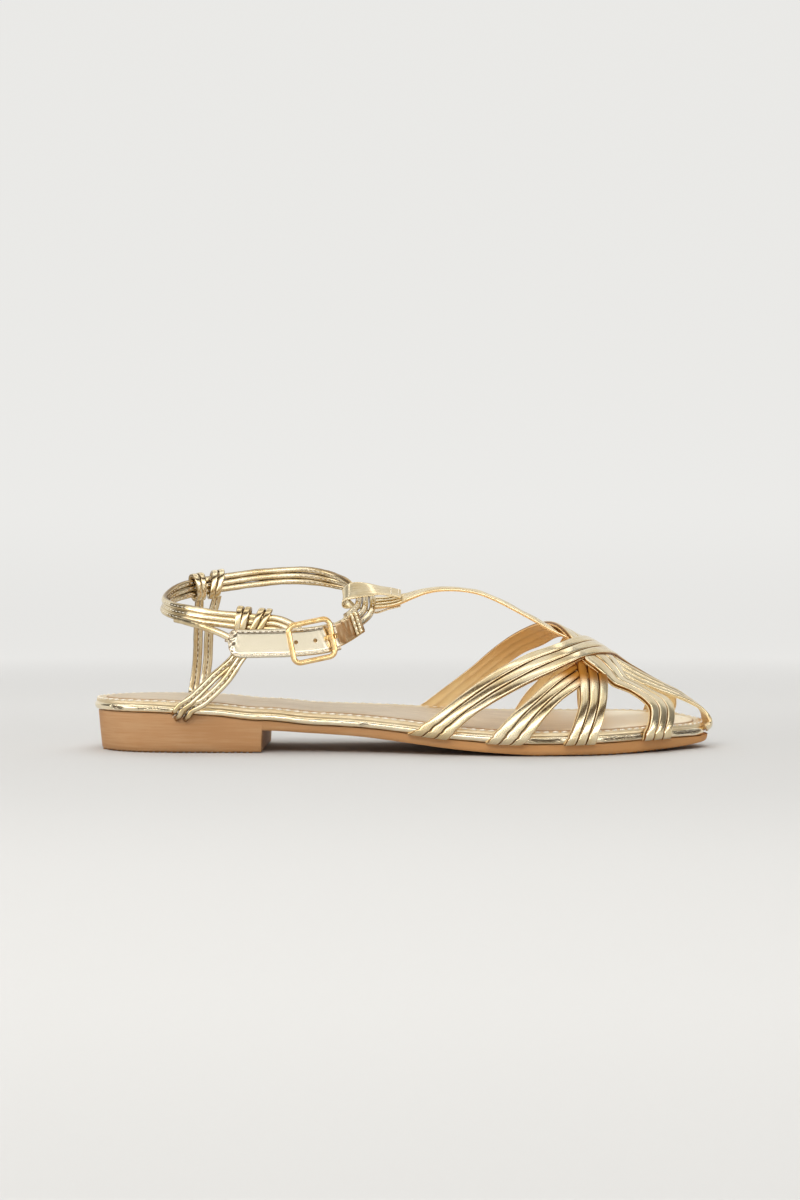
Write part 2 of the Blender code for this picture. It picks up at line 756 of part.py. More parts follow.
def build_heel_strap(name, side, strips, route, finish):
    """Two doubled strips from under the rim up to loops round the ankle cord."""
    pieces = []
    section = flat_section(STRIP_WIDTH, STRIP_WALL)
    reach = GAP + STRIP_EASE + STRIP_WALL / 2
    for rim_x, middle, knot_x in strips:
        place = min((f for f in route if f["point"][1] * side > 0), key=lambda f: abs(f["point"][0] - knot_x))
        aside = unit(np.cross(place["tangent"], place["long"]))
        half_wide = CORD_THICKNESS / 2 + reach + KNOT_EASE
        half_high = CORD_HEIGHT / 2 + reach + KNOT_EASE
        path = loop_path(place["point"], aside, place["long"], half_wide, half_high)
        ring = loft(sweep(path, [place["tangent"]] * len(path), section, True), True)
        pieces.append(add_object(name + "_loop", *ring, finish))
        foot = [rim_point(rim_x, side, d, reach) for d in (FOOT, -30, 0)]
        under = place["point"] - place["long"] * (half_high + KNOT_JOIN)
        way = spline(foot + [np.array(p) for p in middle] + [under], STRIP_STATIONS)
        widths = []
        for i in range(len(way)):
            share = i / (len(way) - 1)
            along_cord = place["tangent"] * math.copysign(share, place["tangent"][0])
            widths.append(np.array((1.0 - share, 0.0, 0.0)) + along_cord)
        pieces.append(add_object(name + "_strip", *loft(sweep(way, widths, section)), finish))
    whole = combine(pieces[0], pieces[1:])
    whole.name = name
    return whole


# --- buckle ---------------------------------------------------------------------------------------
def build_buckle_strap(finish):
    points = spline(BUCKLE_STRAP, STRAP_STATIONS)
    widths = [np.array((0.0, 0.0, 1.0))] * len(points)
    rings = sweep(points, widths, flat_section(STRAP_WIDTH, STRAP_WALL))
    strap = add_object("buckle_strap", *loft(rings), finish)
    cutters = []
    for x in HOLES_X:
        near = min(points, key=lambda p: abs(p[0] - x))
        ring = round_section(HOLE_RADIUS)
        rings = [[near + np.array((a, y, b)) for a, b in ring] for y in (-HOLE_REACH, HOLE_REACH)]
        cutters.append(add_object("hole", *loft(rings), finish))
    return combine(strap, cutters, "DIFFERENCE")


def frame_matrix():
    turn = Matrix.Rotation(math.radians(FRAME_YAW), 3, "Z") @ Matrix.Rotation(math.radians(-FRAME_TILT), 3, "Y")
    return np.array(turn)


def build_buckle_frame(finish):
    """Rounded rectangle of wire."""
    corners = []
    w, h, r = FRAME_WIDTH / 2, FRAME_HEIGHT / 2, FRAME_ROUND
    for cx, cz, start in ((w - r, h - r, 0), (-w + r, h - r, 90), (-w + r, -h + r, 180), (w - r, -h + r, 270)):
        for i in range(4):
            turn = math.radians(start + 30 * i)
            corners.append(np.array((cx + r * math.cos(turn), 0.0, cz + r * math.sin(turn))))
    turn = frame_matrix()
    centre = np.array(FRAME_CENTRE)
    path = [turn @ p + centre for p in corners]
    widths = [turn @ np.array((0.0, 1.0, 0.0))] * len(path)
    rings = sweep(path, widths, round_section(FRAME_WIRE), True)
    return add_object("buckle_frame", *loft(rings, True), finish)


def build_buckle_prong(finish):
    """Knuckle of the prong, rolled round the buckle's front bar."""
    turn, centre = frame_matrix(), np.array(FRAME_CENTRE)
    bar = np.array((FRAME_WIDTH / 2, 0.0, 0.0))
    radius = FRAME_WIRE + GAP + KNUCKLE_WALL / 2
    w, t = KNUCKLE_WIDTH / 2, KNUCKLE_WALL / 2
    section = ((-w, -t), (w, -t), (w, t), (-w, t))
    path = []
    for i in range(KNUCKLE_POINTS):
        angle = math.radians(KNUCKLE_START + KNUCKLE_TURN * i / (KNUCKLE_POINTS - 1))
        path.append(turn @ (bar + radius * np.array((math.cos(angle), math.sin(angle), 0.0))) + centre)
    widths = [turn @ np.array((0.0, 0.0, 1.0))] * len(path)
    return add_object("buckle_prong", *loft(sweep(path, widths, section)), finish)


def build_billet(finish):
    """Short strap behind the buckle strap, from the buckle to the cord's front end."""
    points = spline(BILLET, BILLET_STATIONS)
    widths = [np.array((0.0, 0.0, 1.0))] * len(points)
    rings = sweep(points, widths, flat_section(BILLET_WIDTH, STRIP_WALL))
    return add_object("buckle_billet", *loft(rings), finish)


def main():
    for old in list(bpy.data.objects):
        bpy.data.objects.remove(old)
    gold = material("gold_leather", (0.74, 0.66, 0.42), 0.25, 0.9)
    sole = material("tan_rubber", (0.50, 0.27, 0.13), 0.6, 0.0)
    sock = material("champagne_lining", (0.62, 0.52, 0.38), 0.5, 0.3)
    brass = material("buckle_brass", (0.80, 0.55, 0.22), 0.25, 1.0)
    route = cord_frames()
    build_outsole(sole)
    build_insole(sock)
    build_upper(route, gold)
    build_cord(route, gold)
    build_heel_strap("heel_strap_outer", -1, OUTER_STRIPS, route, gold)
    build_heel_strap("heel_strap_inner", 1, INNER_STRIPS, route, gold)
    build_buckle_strap(gold)
    build_billet(gold)
    build_buckle_frame(brass)
    build_buckle_prong(brass)


main()
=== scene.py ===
"""Gold huarache sandal, right shoe: every visible surface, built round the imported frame.

Frame: +X to the toe, +Y to the inner side of the foot, +Z up. Sizes are in millimetres and become metres
when a mesh is made.
"""

import logging
import math
from dataclasses import dataclass, field
from enum import Enum
from functools import cached_property
from typing import Any, Callable, ClassVar, Sequence

import bmesh
import bpy
import numpy as np
from mathutils import Matrix, Vector


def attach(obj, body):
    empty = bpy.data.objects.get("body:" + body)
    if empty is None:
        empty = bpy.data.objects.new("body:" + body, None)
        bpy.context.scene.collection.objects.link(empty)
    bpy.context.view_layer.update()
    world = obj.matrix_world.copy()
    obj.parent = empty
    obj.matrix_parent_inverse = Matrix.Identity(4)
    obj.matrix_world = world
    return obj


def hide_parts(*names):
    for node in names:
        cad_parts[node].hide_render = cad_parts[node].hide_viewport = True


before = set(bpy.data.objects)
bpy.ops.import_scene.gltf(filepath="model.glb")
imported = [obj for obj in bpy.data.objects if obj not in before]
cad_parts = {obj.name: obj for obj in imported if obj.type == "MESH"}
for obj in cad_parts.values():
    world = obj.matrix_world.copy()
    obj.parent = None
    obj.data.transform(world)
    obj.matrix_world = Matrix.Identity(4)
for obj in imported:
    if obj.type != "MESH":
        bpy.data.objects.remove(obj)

MM = 0.001
BODY = "root"
# how many sines an uneven wave is made of
VOICES = 5
log = logging.getLogger("sandal")

Array = np.ndarray
Numbers = Array | float
Height = Callable[[Array, Array], Array]
Row = tuple[float, ...]
Table = tuple[Row, ...]
Colour = tuple[float, float, float]
Material = bpy.types.Material
Socket = bpy.types.NodeSocket
Piece = bpy.types.Object


# --- curves and vectors ---
class Profile:
    """Smooth curve through the values of a table, which never passes them between two rows."""

    def __init__(self, keys: Sequence[float], values: Sequence[float]) -> None:
        """Work out the slopes at the rows.

        Args:
            keys: rising places of the rows.
            values: value at each place.
        """
        self.keys = np.asarray(keys, float)
        self.values = np.asarray(values, float)
        self.steps = np.diff(self.keys)
        slopes = np.diff(self.values) / self.steps
        product, total = slopes[:-1] * slopes[1:], slopes[:-1] + slopes[1:]
        same = product > 0
        inner = np.where(same, 2 * product / np.where(same, total, 1.0), 0.0)
        self.slopes = np.concatenate((slopes[:1], inner, slopes[-1:]))

    def __call__(self, x: Numbers) -> Array:
        """Value at x.

        Args:
            x: places, held inside the table's range.

        Returns:
            The values there.
        """
        x = np.clip(x, self.keys[0], self.keys[-1])
        i = np.clip(np.searchsorted(self.keys, x, side="right") - 1, 0, len(self.steps) - 1)
        t = (x - self.keys[i]) / self.steps[i]
        start, end = self.slopes[i] * self.steps[i], self.slopes[i + 1] * self.steps[i]
        return (
            (2 * t**3 - 3 * t**2 + 1) * self.values[i] + (t**3 - 2 * t**2 + t) * start
            + (3 * t**2 - 2 * t**3) * self.values[i + 1] + (t**3 - t**2) * end
        )


def reading(rows: Sequence[Row], x: Numbers) -> Array:
    """Smooth value at x of a table of places and values."""
    return Profile(*zip(*rows))(x)


def follow(rows: Sequence[Row], count: int) -> Array:
    """Rows worked out between rows, each column smooth and with no overshoot.

    Args:
        rows: the table.
        count: how many rows to return.

    Returns:
        Array of count rows.
    """
    keys = range(len(rows))
    places = np.linspace(0, len(rows) - 1, count)
    return np.stack([Profile(keys, column)(places) for column in zip(*rows)], axis=1)


def spline(rows: Sequence[Row], count: int) -> Array:
    """Points of a smooth curve through rows of numbers.

    Args:
        rows: numbers that the curve passes through.
        count: how many points to return.

    Returns:
        Array of count rows.
    """
    p = np.asarray(rows, float)
    p = np.vstack((2 * p[0] - p[1], p, 2 * p[-1] - p[-2]))
    place = np.linspace(0, len(rows) - 1, count)
    k = np.minimum(place.astype(int), len(rows) - 2)
    t = (place - k)[:, None]
    a, b, c, d = p[k], p[k + 1], p[k + 2], p[k + 3]
    return 0.5 * (2 * b + (c - a) * t + (2 * a - 5 * b + 4 * c - d) * t**2 + (3 * b - a - 3 * c + d) * t**3)


def unit(vectors: Array) -> Array:
    """Vectors of length one."""
    return vectors / np.maximum(np.linalg.norm(vectors, axis=-1, keepdims=True), 1e-9)


def circle(count: int, shift: float = 0.0) -> tuple[Array, Array]:
    """Cosines and sines of evenly spaced turns, the first of them at shift radians."""
    turn = np.linspace(0, 2 * math.pi, count, endpoint=False) + shift
    return np.cos(turn), np.sin(turn)


def bent(values: Array, power: float) -> Array:
    """Values raised to a power with their signs kept: below 1 it makes a circle squarer."""
    return np.sign(values) * np.abs(values) ** power


def headings(path: Array) -> Array:
    """Directions along an open path."""
    return unit(np.gradient(path, axis=0))


def smooth_step(x: Numbers, low: float, high: float) -> Array:
    """0 below low, 1 above high and a soft rise between them."""
    t = np.clip((np.asarray(x, float) - low) / (high - low), 0, 1)
    return t * t * (3 - 2 * t)


def plateau(x: Numbers, rise: tuple[float, float], fall: tuple[float, float]) -> Array:
    """0 before the rise, 1 between rise and fall and 0 after, with soft flanks."""
    return smooth_step(x, *rise) * (1 - smooth_step(x, *fall))


def even(points: Array, step: float) -> Array:
    """Points at even distances along a polyline.

    Args:
        points: the polyline.
        step: distance wanted between two points.

    Returns:
        The new polyline, with the same ends.
    """
    travelled = run_length(points)
    places = np.linspace(0, travelled[-1], max(2, int(round(travelled[-1] / step)) + 1))
    return np.stack([np.interp(places, travelled, points[:, i]) for i in range(points.shape[1])], axis=1)


def run_length(points: Array) -> Array:
    """Distance along a polyline at each of its points, over its first three columns."""
    steps = np.linalg.norm(np.diff(points[:, :3], axis=0), axis=1)
    return np.concatenate(([0.0], np.cumsum(steps)))


def ripple(places: Array, wave: float, seed: int) -> Array:
    """Uneven wave between about -1 and 1, the same each run.

    Args:
        places: distances along the piece.
        wave: typical wavelength.
        seed: number that picks the wave.

    Returns:
        Height of the wave at each place.
    """
    draw = np.random.RandomState(seed)
    total = np.zeros(np.shape(places))
    for _ in range(VOICES):
        length, phase = wave * draw.uniform(0.55, 1.8), draw.uniform(0, 2 * math.pi)
        total = total + np.sin(2 * math.pi * places / length + phase)
    return total / math.sqrt(VOICES)


# --- meshes ---
@dataclass
class Draft:
    """Grows one piece out of grids of points, in millimetres."""

    points: list[Array] = field(default_factory=list)
    faces: list[list[int]] = field(default_factory=list)
    chart: list[Array] = field(default_factory=list)
    # share of painted shade at each point
    depth: list[Array] = field(default_factory=list)
    count: int = 0

    def add_points(self, points: Array, depth: Numbers = 0.0) -> int:
        """Store points.

        Args:
            points: array of positions.
            depth: share of painted shade in the dark crease colour at each point, from 0 to 1.

        Returns:
            Index of the first new point.
        """
        flat = points.reshape(-1, 3)
        start = self.count
        self.points.append(flat)
        self.depth.append(np.broadcast_to(depth, points.shape[:-1]).reshape(-1).astype(float))
        self.count += len(flat)
        return start

    def grid(
        self, rings: Array, *, round_ring: bool = True, round_run: bool = False,
        capped: bool = True, depth: Numbers = 0.0,
    ) -> None:
        """Skin rings of equal count.

        Args:
            rings: positions, indexed by place along the run and place round the ring.
            round_ring: whether each ring closes on itself.
            round_run: whether the last ring joins the first.
            capped: whether open ends of the run are closed.
            depth: share of painted shade at each point.
        """
        n, m = rings.shape[:2]
        start = self.add_points(rings, depth)
        rows, columns = n if round_run else n - 1, m if round_ring else m - 1
        i, j = np.meshgrid(np.arange(rows), np.arange(columns), indexing="ij")
        down, right = (i + 1) % n, (j + 1) % m
        quads = np.stack((i * m + j, i * m + right, down * m + right, down * m + j), axis=-1) + start
        self.faces += quads.reshape(-1, 4).tolist()
        middle = rings.mean(axis=1)
        along = run_length(np.vstack((middle, middle[:1])))
        widest = rings[int(np.argmax(np.linalg.norm(np.diff(rings, axis=1), axis=2).sum(axis=1)))]
        around = run_length(np.vstack((widest, widest[:1])))
        u = np.stack((along[i], along[i], along[i + 1], along[i + 1]), axis=-1)
        v = np.stack((around[j], around[j + 1], around[j + 1], around[j]), axis=-1)
        self.chart.append(np.stack((u, v), axis=-1).reshape(-1, 2))
        if capped and round_ring and not round_run:
            for ends in (range(m - 1, -1, -1), range((n - 1) * m, n * m)):
                self.faces.append([start + k for k in ends])
                self.chart.append(np.zeros((m, 2)))

    def skin(
        self, path: Array, wides: Array, a: Array, b: Array, *,
        closed: bool = False, depth: Numbers = 0.0,
    ) -> None:
        """Skin a section carried along a path.

        Args:
            path: positions along the path.
            wides: direction of the section's width at each.
            a: places across the width, one set for the whole path or one for each position.
            b: heights at those places.
            closed: whether the path joins its start.
            depth: share of painted shade at each point.
        """
        section = np.stack(np.broadcast_arrays(a, b), axis=-1)
        self.grid(sweep(path, wides, section, closed), round_run=closed, depth=depth)

    def make(self, name: str, sharp: float = 60.0) -> Piece:
        """Turn the draft into an object with its faces pointing out.

        Args:
            name: name of the piece.
            sharp: angle in degrees above which an edge stays crisp.

        Returns:
            The object, at the origin.
        """
        mesh = bpy.data.meshes.new(name)
        mesh.from_pydata((np.vstack(self.points) * MM).tolist(), [], self.faces)
        chart = mesh.uv_layers.new(name="run")
        chart.data.foreach_set("uv", (np.vstack(self.chart) * MM).astype(np.float32).ravel())
        # the finishes read this as painted shade in the dark crease colour
        crease = mesh.attributes.new("crease", "FLOAT", "POINT")
        crease.data.foreach_set("value", np.concatenate(self.depth).astype(np.float32))
        shape = bmesh.new()
        shape.from_mesh(mesh)
        bmesh.ops.remove_doubles(shape, verts=shape.verts, dist=2e-6)
        bmesh.ops.recalc_face_normals(shape, faces=shape.faces)
        shape.to_mesh(mesh)
        shape.free()
        mesh.shade_smooth()
        mesh.set_sharp_from_angle(angle=math.radians(sharp))
        return placed(name, mesh)

    def finish(
        self, name: str, finish: Material, *nodes: str, slot: str = "gold_leather", sharp: float = 60.0,
    ) -> Piece:
        """Turn the draft into a finished piece.

        Args:
            name: name of the piece.
            finish: its material.
            nodes: frame nodes that it replaces.
            slot: handed on to finish_piece, which does not use it.
            sharp: angle in degrees above which an edge stays crisp.

        Returns:
            The piece.
        """
        return finish_piece(self.make(name, sharp), finish, slot, *nodes)


def placed(name: str, data: bpy.types.ID) -> Piece:
    """New object in the scene, at the origin."""
    made = bpy.data.objects.new(name, data)
    bpy.context.scene.collection.objects.link(made)
    return made


def freeze(piece: Piece) -> None:
    """Turn a piece's modifiers into plain mesh.

    Args:
        piece: the piece.
    """
    bpy.context.view_layer.update()
    evaluated = piece.evaluated_get(bpy.context.evaluated_depsgraph_get())
    plain = bpy.data.meshes.new_from_object(evaluated)
    piece.modifiers.clear()
    piece.data = plain


def sweep(path: Array, wides: Array, section: Array, closed: bool = False) -> Array:
    """Carry a section along a path.

    Args:
        path: positions along the path.
        wides: direction of the section's first number at each position.
        section: pairs, one set for the whole path or one for each position.
        closed: whether the path joins its start.

    Returns:
        Rings of positions. The section's second number runs to the side of wide x tangent.
    """
    if closed:
        tangents = np.roll(path, -1, axis=0) - np.roll(path, 1, axis=0)
    else:
        tangents = np.gradient(path, axis=0)
    tangents = unit(tangents)
    wides = unit(wides - tangents * (wides * tangents).sum(axis=1, keepdims=True))
    ups = np.cross(wides, tangents)
    section = np.asarray(section, float)
    if section.ndim == 2:
        section = np.broadcast_to(section, (len(path), *section.shape))
    return path[:, None] + wides[:, None] * section[..., :1] + ups[:, None] * section[..., 1:]


def finish_piece(piece: Piece, finish: Material, slot: str, *nodes: str) -> Piece:
    """Dress a piece, hang it on the shoe and hide the frame nodes that it replaces.

    Args:
        piece: the finished object.
        finish: its material.
        slot: not used.
        nodes: frame nodes that it replaces.

    Returns:
        The same object.
    """
    if not piece.data.materials:
        piece.data.materials.append(finish)
    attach(piece, BODY)
    if nodes:
        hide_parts(*nodes)
    log.info("%s: %d faces", piece.name, len(piece.data.polygons))
    return piece


# --- the shoe's form ---
class Side(Enum):
    """Side of the shoe, as the sign of its y."""

    OUTER = -1
    INNER = 1


class Level(Enum):
    """Column of the height table."""

    GROUND = 1
    SEAM = 2
    RIM = 3
    LIFT = 4


@dataclass
class ShoeForm:
    """Outline and heights of the sole, and the last that the upper is drawn over."""

    heel_end: float = -126.2
    toe_end: float = 122.4
    breast: float = -56.6
    breast_slope: float = 0.2
    rim_round: float = 1.8
    gap: float = 0.3
    band_gap: float = 0.45
    rise_start: float = -8.0
    section_power: float = 2.1
    # x, outer and inner half-width of the rim
    outline: Table = (
        (-126.2, 0, 0), (-122, 14.5, 14.5), (-105, 26.2, 26), (-85, 29, 28.2),
        (-60, 29, 27), (-35, 29.8, 26), (-10, 33, 28), (10, 37.5, 32),
        (30, 41, 38.2), (50, 42.6, 42.2), (70, 40.3, 41.8), (88, 32.5, 37),
        (103, 21.8, 28.8), (114, 12.6, 20.6), (119.5, 5.8, 14.6), (122.4, -4, 4),
    )
    # x, height of the ground side, of the seam, of the rim's top, and how much higher the inner edge is
    heights: Table = (
        (-126.2, 0, 16.2, 20.9, 0), (-100, 0, 15.9, 20.6, 0.1), (-75, 0, 14.7, 19.5, 0.5),
        (-56.8, 0, 12.9, 17.8, 0.7), (-56.4, 8.4, 12.9, 17.8, 0.7), (-38, 7.5, 11.3, 16.2, 0.8),
        (-19, 6.3, 10.4, 15.1, 1.2), (0, 4.1, 8.5, 13.3, 2), (18, 2, 6.3, 11.1, 2.8),
        (36, 0.6, 5.1, 9.9, 3), (50, 0, 4.7, 9.6, 3), (75, 0, 4.9, 9.7, 2.9),
        (100, 0.5, 5.5, 10.3, 2.8), (113, 1, 5.3, 10.3, 2.4), (122.4, 2.2, 5, 10.5, 0.7),
    )
    # x, height of the last's crown and where the crown line runs sideways
    crown: Table = (
        (-10, 56, 0), (15, 59.5, 0.5), (46.6, 53, 1.6), (62.7, 45.6, 2.2), (75, 39, 2.6),
        (87.7, 31.2, 3), (100, 25.3, 3.4), (111.7, 19.8, 3.8), (119, 14.5, 4), (122.4, 9, 4),
    )

    def turn(self, x: Numbers) -> Array:
        """Angle from 0 at the heel end to pi at the toe end, which spaces places closely at both."""
        share = (np.asarray(x, float) - self.heel_end) / (self.toe_end - self.heel_end)
        return np.arccos(np.clip(1 - 2 * share, -1, 1))

    @cached_property
    def _widths(self) -> dict[Side, Profile]:
        """Half-width curve of each side."""
        x, outer, inner = zip(*self.outline)
        keys = self.turn(x)
        return {Side.OUTER: Profile(keys, outer), Side.INNER: Profile(keys, inner)}

    @cached_property
    def _levels(self) -> dict[Level, Profile]:
        """Height curve of each column."""
        columns = tuple(zip(*self.heights))
        return {which: Profile(columns[0], columns[which.value]) for which in Level}

    @cached_property
    def _crown(self) -> tuple[Profile, Profile]:
        """Height and sideways place of the last's crown."""
        x, height, middle = zip(*self.crown)
        return Profile(x, height), Profile(x, middle)

    def edge(self, x: Numbers, side: Side, offset: Numbers = 0.0) -> Array:
        """Place of the rim's widest line.

        Args:
            x: places along the shoe.
            side: which side of the shoe.
            offset: how far the line is moved outward.

        Returns:
            y at each place.
        """
        x = np.asarray(x, float)
        curve = self._widths[side]
        step = 0.5
        low, high = np.maximum(self.heel_end, x - step), np.minimum(self.toe_end, x + step)
        slope = (curve(self.turn(high)) - curve(self.turn(low))) / (high - low)
        reach = np.minimum(2.0, np.hypot(1.0, slope))
        return side.value * (curve(self.turn(x)) + offset * reach)

    def level(self, x: Numbers, which: Level, y: Numbers = -8.0) -> Array:
        """Height of one of the sole's levels.

        Args:
            x: places along the shoe.
            which: the level.
            y: places across the shoe.

        Returns:
            Height at each place.
        """
        x, y = np.broadcast_arrays(np.asarray(x, float), np.asarray(y, float))
        inner = self._widths[Side.INNER](self.turn(x))
        share = np.maximum(0.0, (y - self.rise_start) / np.maximum(inner - self.rise_start, 1.0))
        lifted = self._levels[Level.LIFT](x) * share**2
        if which is Level.GROUND:
            lifted = np.where(x < self.breast, 0.0, lifted)
        return self._levels[which](x) + lifted

    def rim_half(self, x: Numbers) -> Array:
        """Half the height of the rolled rim."""
        return (self.level(x, Level.RIM) - self.level(x, Level.SEAM) - self.gap / 2) / 2

    def rim_middle(self, x: Numbers, y: Numbers) -> Array:
        """Height of the rolled rim's widest line."""
        return (self.level(x, Level.RIM, y) + self.level(x, Level.SEAM, y) + self.gap / 2) / 2

    def rim_point(self, x: Array, side: Side, degrees: Numbers, offset: Numbers) -> Array:
        """Place round the rolled rim: 0 degrees at its widest, -90 below and 90 on top.

        Args:
            x: places along the shoe.
            side: which side of the shoe.
            degrees: places round the rim.
            offset: distance out from the rim.

        Returns:
            Positions.
        """
        x, degrees, offset = np.broadcast_arrays(np.asarray(x, float), degrees, offset)
        turn = np.radians(degrees)
        out = (self.rim_round + offset) * np.cos(turn) - self.rim_round
        up = (self.rim_half(x) + offset) * np.sin(turn)
        return np.stack((x, self.edge(x, side, out), self.rim_middle(x, self.edge(x, side)) + up), axis=-1)

    def surface(self, x: Array, degrees: Array) -> Array:
        """Place on the last: 0 degrees at the outer rim, 90 at the crown and 180 at the inner rim.

        Args:
            x: places along the shoe.
            degrees: places across the last; past a rim they run round it.

        Returns:
            Positions.
        """
        x, degrees = np.broadcast_arrays(np.asarray(x, float), np.asarray(degrees, float))
        height, middle = (curve(x) for curve in self._crown)
        found = np.zeros((*x.shape, 3))
        for side, here in ((Side.OUTER, degrees <= 90), (Side.INNER, degrees > 90)):
            folded = degrees if side is Side.OUTER else 180 - degrees
            turn = np.radians(np.clip(folded, 0, 90))
            power = 2 / self.section_power
            reach, climb = np.cos(turn) ** power, np.sin(turn) ** power
            low, rim = self.rim_middle(x, self.edge(x, side)), self.edge(x, side, self.band_gap)
            over = np.stack((x, middle + (rim - middle) * reach, low + (height - low) * climb), axis=-1)
            under = self.rim_point(x, side, np.minimum(folded, 0), self.band_gap)
            point = np.where((folded <= 0)[..., None], under, over)
            found = np.where(here[..., None], point, found)
        return found

    def normal(self, x: Array, degrees: Array) -> Array:
        """Direction straight out of the last."""
        forward = self.surface(x + 0.5, degrees) - self.surface(x - 0.5, degrees)
        across = self.surface(x, degrees + 1.5) - self.surface(x, degrees - 1.5)
        return unit(np.cross(forward, across))

    def stations(self, count: int) -> Array:
        """x of each station, close together at the ends, with two at the heel's breast.

        Args:
            count: number of spans.

        Returns:
            Rising places, the two ends included.
        """
        length = self.toe_end - self.heel_end
        places = self.heel_end + length * (1 - np.cos(np.linspace(0, math.pi, count + 1))) / 2
        nearest = int(np.argmin(np.abs(places - self.breast)))
        places[nearest] = self.breast - self.breast_slope
        return np.insert(places, nearest + 1, self.breast + self.breast_slope)

    def ring(self, count: int) -> tuple[Array, Array]:
        """The rim's widest line as a closed ring, outer side first.

        Args:
            count: number of spans along one side.

        Returns:
            Points and their outward directions, both in the plane.
        """
        x = self.stations(count)
        outer = np.stack((x, self.edge(x, Side.OUTER)), axis=1)
        inner = np.stack((x, self.edge(x, Side.INNER)), axis=1)[::-1]
        outer[0] = inner[-1] = (self.heel_end, 0.0)
        points = np.vstack((outer, inner[1:-1]))
        run = np.roll(points, -1, axis=0) - np.roll(points, 1, axis=0)
        return points, unit(np.stack((run[:, 1], -run[:, 0]), axis=1))

    def round_rim(self, points: Array, out: Array, degrees: Array, offset: Numbers) -> Array:
        """Positions round the rim at each point of a ring.

        Args:
            points: ring in the plane.
            out: outward direction at each of its points.
            degrees: places round the rim, one row for each point of the ring or one for all.
            offset: distance out from the rim at each.

        Returns:
            Rings of positions.
        """
        turn = np.radians(degrees)
        reach = (self.rim_round + offset) * np.cos(turn) - self.rim_round
        moved = points[:, None] + out[:, None] * reach[..., None]
        low, half = self.rim_middle(points[:, :1], points[:, 1:]), self.rim_half(points[:, :1])
        return np.concatenate((moved, (low + (half + offset) * np.sin(turn))[..., None]), axis=-1)


FORM = ShoeForm()


@dataclass
class CordRoute:
    """Way of the ankle cord, with the direction in which its three strands lie on each other."""

    # x, y, z and lean of the strands: 0 stacked upright, 90 side by side
    rows: Table = (
        (-41, -30.6, 45.8, 0), (-45, -29.4, 48.4, 0), (-50.5, -28.2, 50.6, 0),
        (-57, -28.6, 51, 0), (-65, -28.2, 51.8, 0), (-74, -26, 52.8, 0),
        (-84, -20.5, 54.2, 8), (-93, -12, 55.8, 14), (-98.2, -2, 58, 16), (-97.6, 9, 61.2, 14),
        (-93, 18, 64, 8), (-84, 25.5, 66.2, 0), (-72, 29.8, 68.2, 0), (-58, 32, 70, 0),
        (-44, 31, 70.4, 5), (-32, 26.5, 68.8, 25), (-22, 17.5, 65.6, 55), (-17.2, 7.5, 62.4, 84),
        (-16.4, -1, 59.4, 84), (-17, -8.5, 55.8, 60), (-19.6, -14.2, 53.2, 40), (-22.4, -18.2, 51.4, 25),
    )
    height: float = 8.0
    thickness: float = 3.0

    def frames(self, count: int) -> tuple[Array, Array, Array]:
        """Places along the cord.

        Args:
            count: how many places.

        Returns:
            Points, directions along the cord and directions in which the strands lie.
        """
        rows = spline(self.rows, count)
        points = rows[:, :3]
        tangents = headings(points)
        upright = unit(np.array((0.0, 0.0, 1.0)) - tangents * tangents[:, 2:3])
        aside = np.cross(tangents, upright)
        lean = np.radians(rows[:, 3:4])
        return points, tangents, upright * np.cos(lean) + aside * np.sin(lean)


ROUTE = CordRoute()


# --- node trees ---
class Tree:
    """A node tree under construction."""

    def __init__(self, tree: bpy.types.NodeTree) -> None:
        """Start with no nodes."""
        self.tree = tree
        tree.nodes.clear()

    def feed(self, node: bpy.types.Node, key: str, value: Any) -> None:
        """Set or link one input of a node.

        Args:
            node: the node.
            key: identifier or name of the socket, with underscores for spaces.
            value: a wire, a socket, a number, a colour or a vector.
        """
        known = (key, key.replace("_", " "))
        socket = next(s for s in node.inputs if s.identifier in known or s.name in known)
        source = getattr(value, "socket", value)
        if isinstance(source, Socket):
            self.tree.links.new(source, socket)
        elif socket.type == "RGBA" and len(value) == 3:
            socket.default_value = (*value, 1.0)
        else:
            socket.default_value = value

    def node(self, kind: str, settings: dict[str, Any] | None = None, **inputs: Any) -> bpy.types.Node:
        """Add a node.

        Args:
            kind: the node's type.
            settings: its properties, set first.
            inputs: values or links of its sockets, by identifier or name, with underscores for spaces.

        Returns:
            The node.
        """
        made = self.tree.nodes.new(kind)
        for key, value in (settings or {}).items():
            setattr(made, key, value)
        for key, value in inputs.items():
            self.feed(made, key, value)
        return made


class Wire:
    """One output of a node, with arithmetic that adds Math nodes."""

    def __init__(self, graph: "Graph", socket: Socket) -> None:
        """Keep the graph and the socket."""
        self.graph = graph
        self.socket = socket

    def __add__(self, other: "Wire | float") -> "Wire":
        """Sum of two values."""
        return self.graph.maths("ADD", self, other)

    __radd__ = __add__

    def __sub__(self, other: "Wire | float") -> "Wire":
        """Difference of two values."""
        return self.graph.maths("SUBTRACT", self, other)

    def __rsub__(self, other: float) -> "Wire":
        """Difference from a number."""
        return self.graph.maths("SUBTRACT", other, self)

    def __mul__(self, other: "Wire | float") -> "Wire":
        """Product of two values."""
        return self.graph.maths("MULTIPLY", self, other)

    __rmul__ = __mul__

    def held(self) -> "Wire":
        """The value kept between 0 and 1."""
        return self.graph.maths("MINIMUM", self.graph.maths("MAXIMUM", self, 0.0), 1.0)

    def ease(self, low: float, high: float) -> "Wire":
        """0 below low, 1 above high and a soft rise between them."""
        settings = {"interpolation_type": "SMOOTHSTEP"}
        made = self.graph.node("ShaderNodeMapRange", settings, Value=self, From_Min=low, From_Max=high)
        return Wire(self.graph, made.outputs["Result"])


